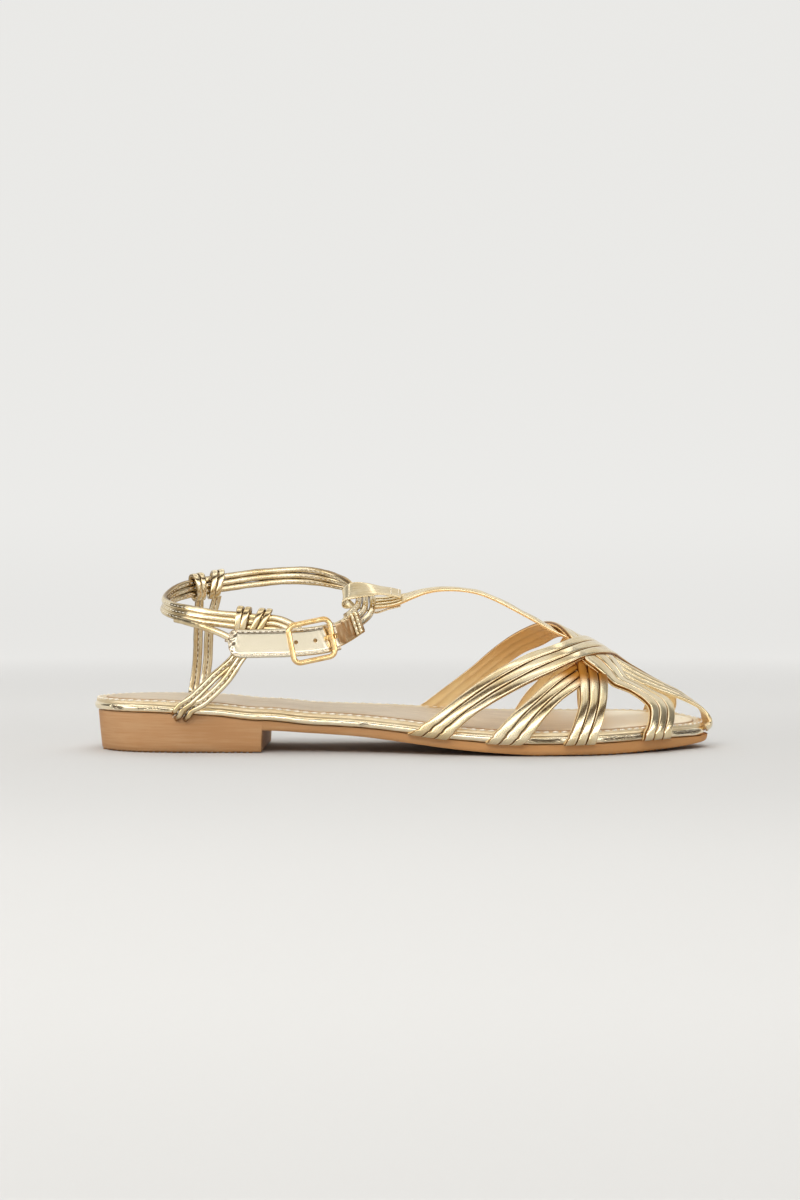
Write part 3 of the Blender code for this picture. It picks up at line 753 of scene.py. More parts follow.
class Graph(Tree):
    """A material under construction, round one Principled shader."""

    def __init__(self, name: str, **shader: float | Colour) -> None:
        """Start the material.

        Args:
            name: name of the material.
            shader: constants of the shader, by socket name with underscores for spaces.
        """
        self.material = bpy.data.materials.new(name)
        self.material.use_nodes = True
        super().__init__(self.material.node_tree)
        self.shader = self.node("ShaderNodeBsdfPrincipled", **shader)
        self.node("ShaderNodeOutputMaterial", Surface=self.shader.outputs["BSDF"])

    def maths(self, operation: str, *values: Wire | float) -> Wire:
        """Add a Math node.

        Args:
            operation: what it works out.
            values: its inputs.

        Returns:
            Its value.
        """
        inputs = dict(zip(("Value", "Value_001"), values))
        return Wire(self, self.node("ShaderNodeMath", {"operation": operation}, **inputs).outputs[0])

    def mix(self, a: Wire | Colour, b: Wire | Colour, share: Wire | float) -> Wire:
        """Blend two colours.

        Args:
            a: first colour.
            b: second colour.
            share: how much of the second.

        Returns:
            The colour.
        """
        made = self.node("ShaderNodeMix", {"data_type": "RGBA"}, Factor_Float=share, A_Color=a, B_Color=b)
        return Wire(self, next(s for s in made.outputs if s.identifier == "Result_Color"))

    def place(self) -> Wire:
        """Position on the piece, in metres."""
        return Wire(self, self.node("ShaderNodeTexCoord").outputs["Object"])

    def run(self) -> Wire:
        """Distance along the piece and round it, in metres."""
        return Wire(self, self.node("ShaderNodeUVMap", {"uv_map": "run"}).outputs["UV"])

    def stretch(self, vector: Wire, scale: Colour) -> Wire:
        """Vector scaled along each axis."""
        made = self.node("ShaderNodeVectorMath", {"operation": "MULTIPLY"}, Vector=vector, Vector_001=scale)
        return Wire(self, made.outputs["Vector"])

    def split(self, vector: Wire) -> tuple[Wire, Wire, Wire]:
        """The three numbers of a vector."""
        made = self.node("ShaderNodeSeparateXYZ", Vector=vector)
        return tuple(Wire(self, socket) for socket in made.outputs)

    def noise(
        self, vector: Wire, scale: float, detail: float = 2.0, rough: float = 0.5, bend: float = 0.0,
    ) -> Wire:
        """Cloudy pattern between 0 and 1.

        Args:
            vector: where it is read.
            scale: waves in a unit of the vector.
            detail: how many finer patterns are added.
            rough: how strong those are.
            bend: how much it is twisted.

        Returns:
            The pattern.
        """
        made = self.node(
            "ShaderNodeTexNoise", Vector=vector, Scale=scale, Detail=detail, Roughness=rough, Distortion=bend,
        )
        return Wire(self, made.outputs[0])

    def cells(self, vector: Wire, scale: float) -> Wire:
        """Distance pattern of scattered points."""
        made = self.node("ShaderNodeTexVoronoi", Vector=vector, Scale=scale)
        return Wire(self, made.outputs["Distance"])

    def attribute(self, name: str) -> Wire:
        """Number stored on the mesh."""
        return Wire(self, self.node("ShaderNodeAttribute", {"attribute_name": name}).outputs["Fac"])

    def bump(self, height: Wire, distance: float) -> None:
        """Let a height pattern tilt the surface.

        Args:
            height: the pattern, where 1 stands one distance proud.
            distance: that distance in metres.
        """
        made = self.node("ShaderNodeBump", Height=height, Distance=distance, Strength=1.0)
        self.feed(self.shader, "Normal", made.outputs["Normal"])

    def dress(self, colour: Wire, roughness: Wire) -> None:
        """Link the colour and the roughness, kept between 0 and 1."""
        self.feed(self.shader, "Base_Color", colour)
        self.feed(self.shader, "Roughness", roughness.held())


# --- finishes ---
@dataclass(frozen=True)
class MirrorLeather:
    """Gold foil leather: bright, finely crinkled and streaked along each strip."""

    name: str
    light: Colour = (0.90, 0.785, 0.55)
    deep: Colour = (0.73, 0.56, 0.30)
    # dark colour painted into grooves, creases and tucked places: painted shade
    crease: Colour = (0.21, 0.09, 0.02)
    # orange of the ochre lining that the gold mirrors where a band runs under another: painted reflection
    lining_reflection: Colour | None = None
    gloss: float = 0.09
    spread: float = 0.11
    crinkle: float = 0.00003
    streak: float = 0.00004
    pucker: float = 0.0

    def build(self) -> Material:
        """Make the material."""
        g = Graph(self.name, Metallic=1.0)
        place, run = g.place(), g.run()
        cloud = g.noise(place, 90.0, 3.0)
        grain = g.noise(place, 2600.0, 2.0)
        wrinkle = g.noise(place, 620.0, 3.0, 0.55, 0.6)
        streaks = g.noise(g.stretch(run, (60.0, 1500.0, 1.0)), 1.0, 3.0, 0.6)
        # share of painted shade at each point, stored on the mesh as crease
        folds = g.attribute("crease").held()
        worn = (cloud * 0.5 + streaks * 0.5).ease(0.38, 0.66)
        # light painted shade turns to the lining's painted reflection, deep painted shade to the dark crease
        # colour
        hollow = g.mix(self.lining_reflection or self.crease, self.crease, folds.ease(0.80, 0.95))
        share = folds.ease(0.0, 0.85) if self.lining_reflection else folds * 0.92
        body = g.mix(self.light, self.deep, worn)
        gloss = self.gloss + self.spread * wrinkle + 0.06 * grain + 0.2 * folds
        g.dress(g.mix(body, hollow, share), gloss)
        drawn = 0.35 * self.streak / self.crinkle
        g.bump(wrinkle * (0.55 + self.pucker * folds) + grain * 0.10 + streaks * drawn, self.crinkle)
        return g.material


@dataclass(frozen=True)
class OchreLining:
    """Warm smooth lining leather with a faint grain."""

    name: str
    # low: the lining's colour low down; high: darker and more orange higher up, painted shade under the
    # straps above
    low: Colour = (1.0, 0.78, 0.41)
    high: Colour = (0.84, 0.50, 0.175)
    rubbed: Colour = (0.78, 0.46, 0.17)
    # darker colour in the hollows between the pads: painted shade
    valley_shade: Colour = (0.50, 0.25, 0.08)

    def build(self) -> Material:
        """Make the material."""
        g = Graph(self.name, Roughness=0.5, Coat_Weight=0.12, Coat_Roughness=0.35)
        place, run = g.place(), g.run()
        cloud = g.noise(place, 130.0, 4.0)
        rub = g.noise(g.stretch(run, (90.0, 900.0, 1.0)), 1.0, 3.0)
        pores = g.cells(place, 3200.0)
        # darker towards the top: painted shade under the straps
        body = g.mix(self.low, self.high, g.split(place)[2].ease(0.020, 0.046))
        worn = g.mix(body, self.rubbed, (cloud * 0.6 + rub * 0.4).ease(0.36, 0.7) * 0.4)
        # painted shade in the valleys between the pads
        deep = g.attribute("crease").held() * 0.6
        g.dress(g.mix(worn, self.valley_shade, deep), 0.40 + 0.22 * cloud + 0.08 * pores)
        g.bump(pores * 0.4 + rub * 0.6, 0.00008)
        return g.material


@dataclass(frozen=True)
class SockLeather:
    """Champagne sock with a satin shimmer, brushed lengthwise."""

    name: str
    base: Colour = (0.56, 0.455, 0.32)
    warm: Colour = (0.49, 0.365, 0.215)
    # lighter streaks along the brushing: the brushed grain with painted sheen on it
    pale: Colour = (0.93, 0.81, 0.62)
    # paler, yellower colour towards the toe: painted sheen
    toe: Colour = (1.0, 0.96, 0.80)
    # dark colour along the padding's rolled edge: painted shade
    edge: Colour = (0.34, 0.17, 0.05)

    def build(self) -> Material:
        """Make the material."""
        g = Graph(self.name, Metallic=0.35)
        place = g.place()
        brushed = g.noise(g.stretch(place, (55.0, 900.0, 900.0)), 1.0, 4.0, 0.6)
        cloud = g.noise(place, 45.0, 3.0)
        pores = g.cells(place, 2600.0)
        body = g.mix(self.base, self.warm, cloud.ease(0.42, 0.72) * 0.6)
        # brushed grain, partly painted sheen
        shown = g.mix(body, self.pale, brushed.ease(0.5, 0.75) * 0.7)
        # paler towards the toe: painted sheen
        sock = g.mix(shown, self.toe, g.split(place)[0].ease(0.045, 0.085))
        # painted shade along the rolled edge, from the crease attribute
        rolled = g.attribute("crease").held()
        g.dress(g.mix(sock, self.edge, rolled), 0.34 + 0.24 * brushed + 0.06 * pores)
        g.bump(brushed * 0.7 + pores * 0.3, 0.00006)
        return g.material


@dataclass(frozen=True)
class MouldedSole:
    """Tan moulded rubber with a faint flow grain and scuffed edges."""

    name: str
    base: Colour = (0.50, 0.25, 0.095)
    pale: Colour = (0.56, 0.32, 0.15)
    dark: Colour = (0.33, 0.16, 0.06)
    # brighter, more orange colour towards the forefoot: painted light that makes up for the shade falling
    # there
    forefoot_light: Colour = (0.66, 0.32, 0.105)

    def build(self) -> Material:
        """Make the material."""
        g = Graph(self.name, Specular_IOR_Level=0.4)
        place = g.place()
        flow = g.noise(g.stretch(place, (60.0, 60.0, 1300.0)), 1.0, 4.0, 0.62)
        cloud = g.noise(place, 40.0, 3.0)
        speck = g.noise(place, 3400.0, 2.0)
        x, _, height = g.split(place)
        scuff = (1 - height.ease(0.0002, 0.0024)) * cloud.ease(0.35, 0.6)
        # painted light towards the forefoot
        ahead = x.ease(-0.03, 0.05)
        veins = (flow * 0.6 + cloud * 0.4).ease(0.4, 0.68) * (1 - 0.7 * ahead)
        body = g.mix(g.mix(self.base, self.forefoot_light, ahead), self.pale, veins)
        dirt = scuff * 0.6 + speck.ease(0.6, 0.8) * 0.18
        g.dress(g.mix(body, self.dark, dirt), 0.5 + 0.2 * flow + 0.1 * speck)
        g.bump(flow * 0.6 + speck * 0.4, 0.00009)
        return g.material


@dataclass(frozen=True)
class CastBrass:
    """Yellow buckle metal, polished over a slightly pitted casting."""

    name: str
    light: Colour = (0.91, 0.66, 0.34)
    deep: Colour = (0.74, 0.46, 0.17)

    def build(self) -> Material:
        """Make the material."""
        g = Graph(self.name, Metallic=1.0)
        place = g.place()
        cloud = g.noise(place, 420.0, 3.0)
        pits = g.cells(place, 1700.0)
        scratch = g.noise(g.stretch(place, (300.0, 300.0, 4200.0)), 1.0, 2.0)
        g.dress(g.mix(self.light, self.deep, cloud.ease(0.4, 0.7)), 0.12 + 0.16 * cloud + 0.08 * scratch)
        g.bump(pits.ease(0.0, 0.32) * 0.7 + cloud * 0.5 + scratch * 0.1, 0.00005)
        return g.material


@dataclass(frozen=True)
class SewingThread:
    """Polyester thread, pale and softly shiny."""

    name: str
    base: Colour = (0.94, 0.86, 0.71)
    shade: Colour = (0.74, 0.62, 0.45)

    def build(self) -> Material:
        """Make the material."""
        g = Graph(self.name, Sheen_Weight=0.25)
        place = g.place()
        ply = g.noise(g.stretch(place, (2200.0, 2200.0, 5200.0)), 1.0, 2.0)
        cloud = g.noise(place, 260.0, 2.0)
        worn = (ply * 0.5 + cloud * 0.5).ease(0.45, 0.75) * 0.6
        g.dress(g.mix(self.base, self.shade, worn), 0.42 + 0.25 * ply)
        g.bump(ply, 0.00008)
        return g.material


@dataclass(frozen=True)
class PaperSweep:
    """Pale studio paper, evenly lit away from the shoe."""

    name: str
    low: Colour = (0.56, 0.555, 0.542)
    pale: Colour = (0.66, 0.655, 0.64)
    haze: Colour = (0.735, 0.728, 0.708)
    glow: Colour = (0.785, 0.78, 0.76)
    spent: Colour = (0.06, 0.06, 0.06)
    near: float = 0.30
    far: float = 1.15

    def build(self) -> Material:
        """Make the material."""
        g = Graph(self.name, Roughness=0.95, Specular_IOR_Level=0.1, Emission_Strength=1.0)
        place = g.place()
        away = Wire(g, g.node("ShaderNodeVectorMath", {"operation": "LENGTH"}, Vector=place).outputs["Value"])
        share = away.ease(self.near, self.far)
        _, y, z = g.split(place)
        behind, under, before = y.ease(0.0, 0.3), y.ease(-0.32, -0.12), 1 - y.ease(-0.52, -0.40)
        tone = 0.58 + 0.6 * behind - 0.36 * under - 0.6 * before
        g.feed(g.shader, "Base Color", g.mix(g.mix(self.low, self.pale, tone.held()), self.spent, share))
        wall = g.mix(self.haze, self.glow, z.ease(0.0, 0.2))
        g.feed(g.shader, "Emission Color", g.mix((0.0, 0.0, 0.0), wall, share))
        return g.material


# --- repeated pieces ---
class Repeat(Enum):
    """What a row is made of."""

    STITCH = "stitch"
    RIB = "rib"


class RowTree(Tree):
    """Geometry Nodes tree that sets one small shape after another along lines."""

    inputs = (
        ("Geometry", "NodeSocketGeometry"), ("Pitch", "NodeSocketFloat"), ("Length", "NodeSocketFloat"),
        ("Width", "NodeSocketFloat"), ("Height", "NodeSocketFloat"), ("Slant", "NodeSocketFloat"),
        ("Jitter", "NodeSocketFloat"), ("Seed", "NodeSocketInt"), ("Finish", "NodeSocketMaterial"),
    )

    def __init__(self, shape: Repeat) -> None:
        """Build the tree.

        Args:
            shape: what stands at each place of the line.
        """
        super().__init__(bpy.data.node_groups.new(f"row_of_{shape.value}", "GeometryNodeTree"))
        for name, kind in self.inputs:
            self.tree.interface.new_socket(name=name, in_out="INPUT", socket_type=kind)
        self.tree.interface.new_socket(name="Geometry", in_out="OUTPUT", socket_type="NodeSocketGeometry")
        given = self.node("NodeGroupInput").outputs
        line = self.first("GeometryNodeMeshToCurve", Mesh=given["Geometry"])
        places = self.first(
            "GeometryNodeResampleCurve", {"mode": "LENGTH"}, Curve=line, Length=given["Pitch"],
        )
        reach = self.first("GeometryNodeInputNamedAttribute", {"data_type": "FLOAT"}, Name="reach")
        wide = self.first("ShaderNodeMath", {"operation": "MULTIPLY"}, Value=given["Width"], Value_001=reach)
        size = self.first("ShaderNodeCombineXYZ", X=given["Length"], Y=wide, Z=given["Height"])
        row = self.first(
            "GeometryNodeInstanceOnPoints",
            Points=places, Instance=self.shape(shape), Rotation=self.turned(given), Scale=size,
        )
        real = self.first("GeometryNodeRealizeInstances", Geometry=row)
        smooth = self.first("GeometryNodeSetShadeSmooth", Geometry=real, Shade_Smooth=shape is Repeat.STITCH)
        dressed = self.first("GeometryNodeSetMaterial", Geometry=smooth, Material=given["Finish"])
        self.node("NodeGroupOutput", Geometry=dressed)

    def turned(self, given: bpy.types.NodeOutputs) -> Socket:
        """Rotation of each shape: along the line, upright on it and slanted, a little by chance.

        Args:
            given: the row's settings.

        Returns:
            The rotation.
        """
        up = self.first("GeometryNodeInputNamedAttribute", {"data_type": "FLOAT_VECTOR"}, Name="up")
        tangent = self.first("GeometryNodeInputTangent")
        along = self.first("FunctionNodeAlignRotationToVector", {"axis": "X"}, Vector=tangent)
        upright = self.first(
            "FunctionNodeAlignRotationToVector", {"axis": "Z", "pivot_axis": "X"}, Rotation=along, Vector=up,
        )
        low = self.first("ShaderNodeMath", {"operation": "MULTIPLY"}, Value=given["Jitter"], Value_001=-1.0)
        chance = self.node(
            "FunctionNodeRandomValue", {"data_type": "FLOAT"},
            Min_001=low, Max_001=given["Jitter"], Seed=given["Seed"],
        ).outputs[1]
        angle = self.first("ShaderNodeMath", {"operation": "ADD"}, Value=given["Slant"], Value_001=chance)
        slant = self.first("FunctionNodeEulerToRotation", Euler=self.first("ShaderNodeCombineXYZ", Z=angle))
        return self.first(
            "FunctionNodeRotateRotation", {"rotation_space": "LOCAL"}, Rotation=upright, Rotate_By=slant,
        )

    def first(self, kind: str, settings: dict[str, Any] | None = None, **inputs: Any) -> Socket:
        """Add a node and return its first output."""
        return self.node(kind, settings, **inputs).outputs[0]

    def shape(self, shape: Repeat) -> Socket:
        """Mesh of one repeat, one unit long, wide and high."""
        if shape is Repeat.RIB:
            return self.first("GeometryNodeMeshCube", Size=(1.0, 1.0, 1.0))
        return self.first("GeometryNodeMeshUVSphere", Segments=8, Rings=5, Radius=0.5)


@dataclass
class Line:
    """Path of a row, with the direction its shapes stand in."""

    path: Array
    ups: Array
    closed: bool = False
    reach: Array | None = None


@dataclass
class SewnRow:
    """A row of small shapes along lines."""

    pitch: float
    length: float
    width: float
    height: float
    slant: float = 0.0
    jitter: float = 0.06
    seed: int = 1
    shape: Repeat = Repeat.STITCH

    trees: ClassVar[dict[Repeat, RowTree]] = {}

    def rails(self, name: str, lines: Sequence[Line]) -> bpy.types.Mesh:
        """Mesh of edges along the lines, which says how the shapes stand and how wide they are.

        Args:
            name: name of the mesh.
            lines: where the row runs.

        Returns:
            The mesh.
        """
        rails = bpy.data.meshes.new(name)
        edges, start = [], 0
        for line in lines:
            n = len(line.path)
            edges += [(start + i, start + i + 1) for i in range(n - 1)]
            if line.closed:
                edges.append((start + n - 1, start))
            start += n
        rails.from_pydata((np.vstack([line.path for line in lines]) * MM).tolist(), edges, [])
        ups = rails.attributes.new("up", "FLOAT_VECTOR", "POINT")
        ups.data.foreach_set("vector", np.vstack([line.ups for line in lines]).astype(np.float32).ravel())
        reach = rails.attributes.new("reach", "FLOAT", "POINT")
        reaches = [np.ones(len(line.path)) if line.reach is None else line.reach for line in lines]
        reach.data.foreach_set("value", np.concatenate(reaches).astype(np.float32))
        return rails

    def sew(
        self, name: str, lines: Sequence[Line], finish: Material, slot: str = "gold_leather",
    ) -> Piece:
        """Make the row.

        Args:
            name: name of the piece.
            lines: where it runs.
            finish: its material.
            slot: handed on to finish_piece, which does not use it.

        Returns:
            The row as one plain mesh.
        """
        made = placed(name, self.rails(name, lines))
        if self.shape not in self.trees:
            self.trees[self.shape] = RowTree(self.shape)
        step = made.modifiers.new("row", "NODES")
        step.node_group = self.trees[self.shape].tree
        values = {
            "Pitch": self.pitch * MM, "Length": self.length * MM, "Width": self.width * MM,
            "Height": self.height * MM, "Slant": self.slant, "Jitter": self.jitter,
            "Seed": self.seed, "Finish": finish,
        }
        for item in step.node_group.interface.items_tree:
            if item.in_out == "INPUT" and item.name in values:
                step[item.identifier] = values[item.name]
        freeze(made)
        made.data.name = name
        return finish_piece(made, finish, slot)


# --- sole ---
def stacked(
    draft: Draft, count: int, layers: Sequence[tuple[Array, Height]],
    across: int, depth: Numbers = 0.0,
) -> None:
    """Closed solid between rings that follow the rim.

    Args:
        draft: where it is drawn.
        count: spans along one side.
        layers: from the lowest, the offset out from the rim and the height from x and y.
        across: columns between the two sides of the flat top and bottom.
        depth: share of painted shade at each point of the rings.
    """
    points, out = FORM.ring(count)
    size = len(points)
    half = size // 2
    rings = []
    for offset, height in layers:
        moved = points + out * np.broadcast_to(offset, size)[:, None]
        rings.append(np.column_stack((moved, height(points[:, 0], moved[:, 1]))))
    rings = np.stack(rings)
    start = draft.count
    draft.grid(rings, capped=False, depth=depth)
    shares = np.linspace(0, 1, across + 2)[1:-1]
    for layer, (_, height) in ((0, layers[0]), (len(layers) - 1, layers[-1])):
        base = start + layer * size
        outer, inner = rings[layer, 1:half], rings[layer, :half:-1]
        inside = outer[:, None] * (1 - shares[:, None]) + inner[:, None] * shares[:, None]
        inside[..., 2] = height(points[1:half, 0][:, None], inside[..., 1])
        first = draft.add_points(inside)
        spots = np.concatenate((rings[layer], inside.reshape(-1, 3)))[:, :2]
        grid = first + np.arange(inside.shape[0] * across).reshape(-1, across)
        rows = [[base] * (across + 2)]
        rows += [[base + j, *grid[j - 1].tolist(), base + size - j] for j in range(1, half)]
        rows.append([base + half] * (across + 2))
        for row, following in zip(rows, rows[1:]):
            for a, b, c, d in zip(row, row[1:], following[1:], following):
                face = list(dict.fromkeys((a, b, c, d)))
                draft.faces.append(face)
                local = [k - base if k < first else k - first + size for k in face]
                draft.chart.append(spots[local])


@dataclass
class Outsole:
    """Moulded sole and heel block in one piece, with its tread."""

    rubber: Material
    inset: float = 1.35
    toe_ledge: float = 1.3
    ledge_start: float = 112.0
    taper: float = 1.1
    taper_height: float = 15.0
    taper_least: float = 0.25
    edge: float = 0.9
    # how far the side wall swells halfway up
    belly: float = 0.12
    tread: float = 0.45
    spans: int = 300
    across: int = 10
    heel_tread: tuple[float, float] = (-121.0, -60.5)
    front_tread: tuple[float, float] = (22.0, 112.0)

    def ledge(self, x: Array) -> Array:
        """Offset of the sole's upper edge from the rim's widest line."""
        share = np.clip((x - self.ledge_start) / (FORM.toe_end - self.ledge_start), 0, 1)
        return -self.inset + (self.inset + self.toe_ledge) * share**2

    def lean(self, x: Array) -> Array:
        """How much narrower the sole is at the ground."""
        tall = FORM.level(x, Level.SEAM) - FORM.level(x, Level.GROUND)
        return self.taper * tall / self.taper_height + self.taper_least

    def base(self, x: Array, y: Array) -> Array:
        """Height of the flat that the tread stands on."""
        return FORM.level(x, Level.GROUND, y) + self.tread

    def side(self, share: float) -> Height:
        """Height on the side wall.

        Args:
            share: how far up from the worn edge, from 0 to 1.

        Returns:
            Function that gives the height from x and y.
        """

        def height(x: Array, y: Array) -> Array:
            """Height there."""
            low, top = FORM.level(x, Level.GROUND, y) + self.edge, FORM.level(x, Level.SEAM, y) - FORM.gap / 2
            return low + (top - low) * share

        return height

    def build(self) -> None:
        """Make the sole and its tread."""
        x = FORM.ring(self.spans)[0][:, 0]
        ledge, lean = self.ledge(x), self.lean(x)
        worn = 1 - math.sqrt(0.5)
        layers = [
            (ledge - lean - self.edge, self.base),
            (ledge - lean - self.edge * worn, lambda a, b: self.base(a, b) + (self.edge - self.tread) * worn),
            (ledge - lean, self.side(0.0)),
        ]
        for t in (0.25, 0.5, 0.75):
            layers.append((ledge - lean * (1 - t) + self.belly * math.sin(math.pi * t), self.side(t)))
        layers += [(ledge + 0.05, self.side(0.96)), (ledge - 0.12, self.side(1.0))]
        draft = Draft()
        stacked(draft, self.spans, layers, self.across)
        draft.finish("outsole_body", self.rubber, "outsole", slot="sole_rubber", sharp=35.0)
        self.treads()

    def treads(self) -> None:
        """Make the ribs across the heel's and the forefoot's underside."""
        spans = (("heel", self.heel_tread, 2.3, 0.35), ("forefoot", self.front_tread, 3.1, 3.0))
        for name, (start, end), pitch, inward in spans:
            x = np.linspace(start, end, 60)
            shy = self.lean(x) + self.inset + self.edge + inward
            outer, inner = FORM.edge(x, Side.OUTER, -shy), FORM.edge(x, Side.INNER, -shy)
            low, high = FORM.level(x, Level.GROUND, outer), FORM.level(x, Level.GROUND, inner)
            path = np.column_stack((x, (outer + inner) / 2, (low + high) / 2 + self.tread * 0.56))
            ups = unit(np.column_stack((0 * x, (low - high) / (inner - outer), np.ones(60))))
            line = Line(path, ups, reach=inner - outer)
            ribs = SewnRow(pitch, 1.25, 1.0, self.tread * 1.1, jitter=0.0, shape=Repeat.RIB)
            ribs.sew(f"{name}_tread", [line], self.rubber, "sole_rubber")


@dataclass(frozen=True)
class Crease:
    """Soft trough pressed into the rim's bead, where the leather bunches up."""

    start: float
    end: float
    degrees: float
    depth: float
    spread: float = 15.0
    side: Side = Side.OUTER
    wave: float = 2.2
    seed: int = 3

    def press(self, x: Array, y: Array, degrees: Array) -> Array:
        """Depth of the trough.

        Args:
            x: places along the shoe.
            y: places across it.
            degrees: places round the rim.

        Returns:
            Depth at each place.
        """
        run = plateau(x, (self.start, self.start + 2.5), (self.end - 2.5, self.end))
        here = np.where(np.sign(y) == self.side.value, run, 0.0)
        drift = degrees - self.degrees - 7 * ripple(x, 9.0, self.seed)
        pleats = 0.5 + 0.5 * ripple(x + 0.09 * degrees, self.wave, self.seed + 9)
        return self.depth * here * np.exp(-((drift / self.spread) ** 2)) * pleats


@dataclass
class RimBinding:
    """Leather rolled round the insole: a bright bead below, a stitched margin above."""

    gold: Material
    beige: Material
    thread: Material
    spans: int = 470
    bead_round: int = 40
    bead_inset: float = 1.15
    bead_reach: float = 1.28
    # how far the margin's outer edge is tucked in over the bead
    tuck: float = 0.42
    # distance in from the rim, and height over its top, down the margin's inner edge
    margin_edge: Table = (
        (0.8, 0), (1.7, -0.02), (2.5, -0.1), (2.9, -0.35), (2.9, -0.9), (0.9, -1.1),
    )
    stitch_place: float = 66.0
    stitch: SewnRow = field(default_factory=lambda: SewnRow(3.5, 2.6, 0.85, 0.7, slant=0.10, seed=5))
    # x and the place round the rim where the bead ends
    bead_top: Table = (
        (-126.2, 26), (-105, 22), (-85, 14), (-55, 16), (-10, 20), (30, 22),
        (60, 16), (90, 14), (122.4, 24),
    )
    creases: tuple[Crease, ...] = (
        Crease(-117.5, -110.5, -2, 0.62, 25, seed=11, wave=1.7),
        Crease(-106.5, -91.5, -2, 0.34, 13.75, seed=14, wave=1.2),
        Crease(-62, -20, 6, 0.07, 7.5, seed=17),
        Crease(-19, -13.5, -8, 0.40, 17.5, seed=19, wave=1.5),
        Crease(36.5, 43, -4, 0.50, 22.5, seed=23, wave=1.5),
        Crease(45.5, 60.5, -4, 0.60, 25, seed=27, wave=1.6),
        Crease(74.5, 94, -2, 0.56, 25, seed=31, wave=1.7),
        Crease(105.5, 120, 4, 0.52, 18.75, seed=37, wave=1.6),
        Crease(-112, -98, -4, 0.40, 17.5, side=Side.INNER, seed=41),
        Crease(-64, -44, 0, 0.25, 12.5, side=Side.INNER, seed=43),
        Crease(22, 43, -3, 0.45, 20, side=Side.INNER, seed=47),
        Crease(61, 74, -3, 0.50, 20, side=Side.INNER, seed=53),
        Crease(88, 98, 0, 0.40, 17.5, side=Side.INNER, seed=59),
    )

    def bead(self) -> None:
        """Make the bead, with its creases pressed in."""
        points, out = FORM.ring(self.spans)
        x, y = points[:, :1], points[:, 1:]
        top = np.radians(reading(self.bead_top, x))
        half, low = FORM.rim_half(x), FORM.rim_middle(x, y)
        around = run_length(points)[:, None]
        degrees = np.linspace(-180, 180, self.bead_round, endpoint=False)[None]
        turn = np.radians(degrees)
        troughs = sum(crease.press(x, y, degrees) for crease in self.creases)
        swell = 1 + 0.018 * ripple(around, 15.0, 3) + 0.010 * ripple(around, 5.0, 4)
        tall = half * (1 + np.sin(top)) / 2
        reach = -self.bead_inset + (self.bead_reach * swell - troughs) * np.cos(turn)
        height = low - half + tall + (tall * swell - 0.6 * troughs) * np.sin(turn)
        moved = points[:, None] + out[:, None] * reach[..., None]
        draft = Draft()
        rings = np.concatenate((moved, height[..., None]), axis=-1)
        # the creases get painted shade by their depth
        draft.grid(rings, round_run=True, depth=np.clip(troughs / 0.16, 0, 1))
        draft.finish("rim_bead", self.gold, "insole", sharp=70.0)

    def margin(self) -> None:
        """Make the margin over the bead, in to the edge of the sock."""
        points, out = FORM.ring(self.spans // 2)
        top = reading(self.bead_top, points[:, :1])
        share = np.linspace(0, 1, 11)[None]
        degrees = top + 1 + (89 - top) * share
        around = run_length(points)[:, None]
        rounded = -self.tuck * (1 - share) ** 6
        scallop = 0.05 * np.sin(2 * math.pi * around / self.stitch.pitch) * smooth_step(share, 0.6, 0.9)
        shell = FORM.round_rim(points, out, degrees, rounded + scallop)
        flat = []
        for inward, height in self.margin_edge:
            moved = points - out * (FORM.rim_round + inward)
            flat.append(np.column_stack((moved, FORM.level(points[:, 0], Level.RIM, moved[:, 1]) + height)))
        draft = Draft()
        draft.grid(np.concatenate((shell, np.stack(flat, axis=1)), axis=1), round_run=True)
        draft.finish("rim_margin", self.beige)

    def stitches(self) -> None:
        """Sew the row along the margin."""
        points, out = FORM.ring(self.spans)
        path = FORM.round_rim(points, out, np.array([[self.stitch_place]]), 0.10)[:, 0]
        ups = unit(np.column_stack((out * 0.5, np.ones(len(points)))))
        self.stitch.sew("rim_stitches", [Line(path, ups, closed=True)], self.thread)

    def build(self) -> None:
        """Make the binding's pieces."""
        self.bead()
        self.margin()
        self.stitches()


@dataclass
class Sock:
    """Padded lining that the foot stands on."""

    leather: Material
    spans: int = 240
    inset: float = 4.5
    across: int = 30
    # how far in from the edge, height over the rim's top and painted shade, up the padding's rolled edge
    roll: Table = (
        (0.4, -0.75, 1), (0, -0.5, 1), (-0.1, -0.1, 1), (0.15, 0.16, 0.7), (0.7, 0.30, 0.15),
        (1.8, 0.42, 0), (3.2, 0.54, 0), (4.6, 0.6, 0),
    )

    def build(self) -> None:
        """Make the sock."""

        def height(stand: float) -> Height:
            """Height over the rim's top."""
            return lambda x, y: FORM.level(x, Level.RIM, y) + stand

        layers = [(-self.inset - inward, height(stand)) for inward, stand, _ in self.roll]
        # painted shade down the rolled edge
        edge = np.array([dark for _, _, dark in self.roll], float)[:, None]
        draft = Draft()
        stacked(draft, self.spans, layers, self.across, edge)
        draft.finish("sock", self.leather, slot="sock_lining", sharp=50.0)


# --- upper ---
@dataclass(frozen=True)
class Band:
    """One band of three padded strips over the last.

    Each row holds x and degrees of the rear edge, then x and degrees of the front edge. Degrees run across
    the last: 0 outer rim, 90 crown, 180 inner rim; past either rim a band wraps round under the edge.
    """

    name: str
    lift: float
    rows: Table
    seed: int
    # share of the way along, and the share of the lift that is left there
    settle: Table = ((0.0, 1.0), (1.0, 1.0))
    # height round the last, in degrees, from where and to where it gets painted shade and the lining's
    # painted reflection under the band above
    shadow: tuple[float, float] = (100.0, 101.0)


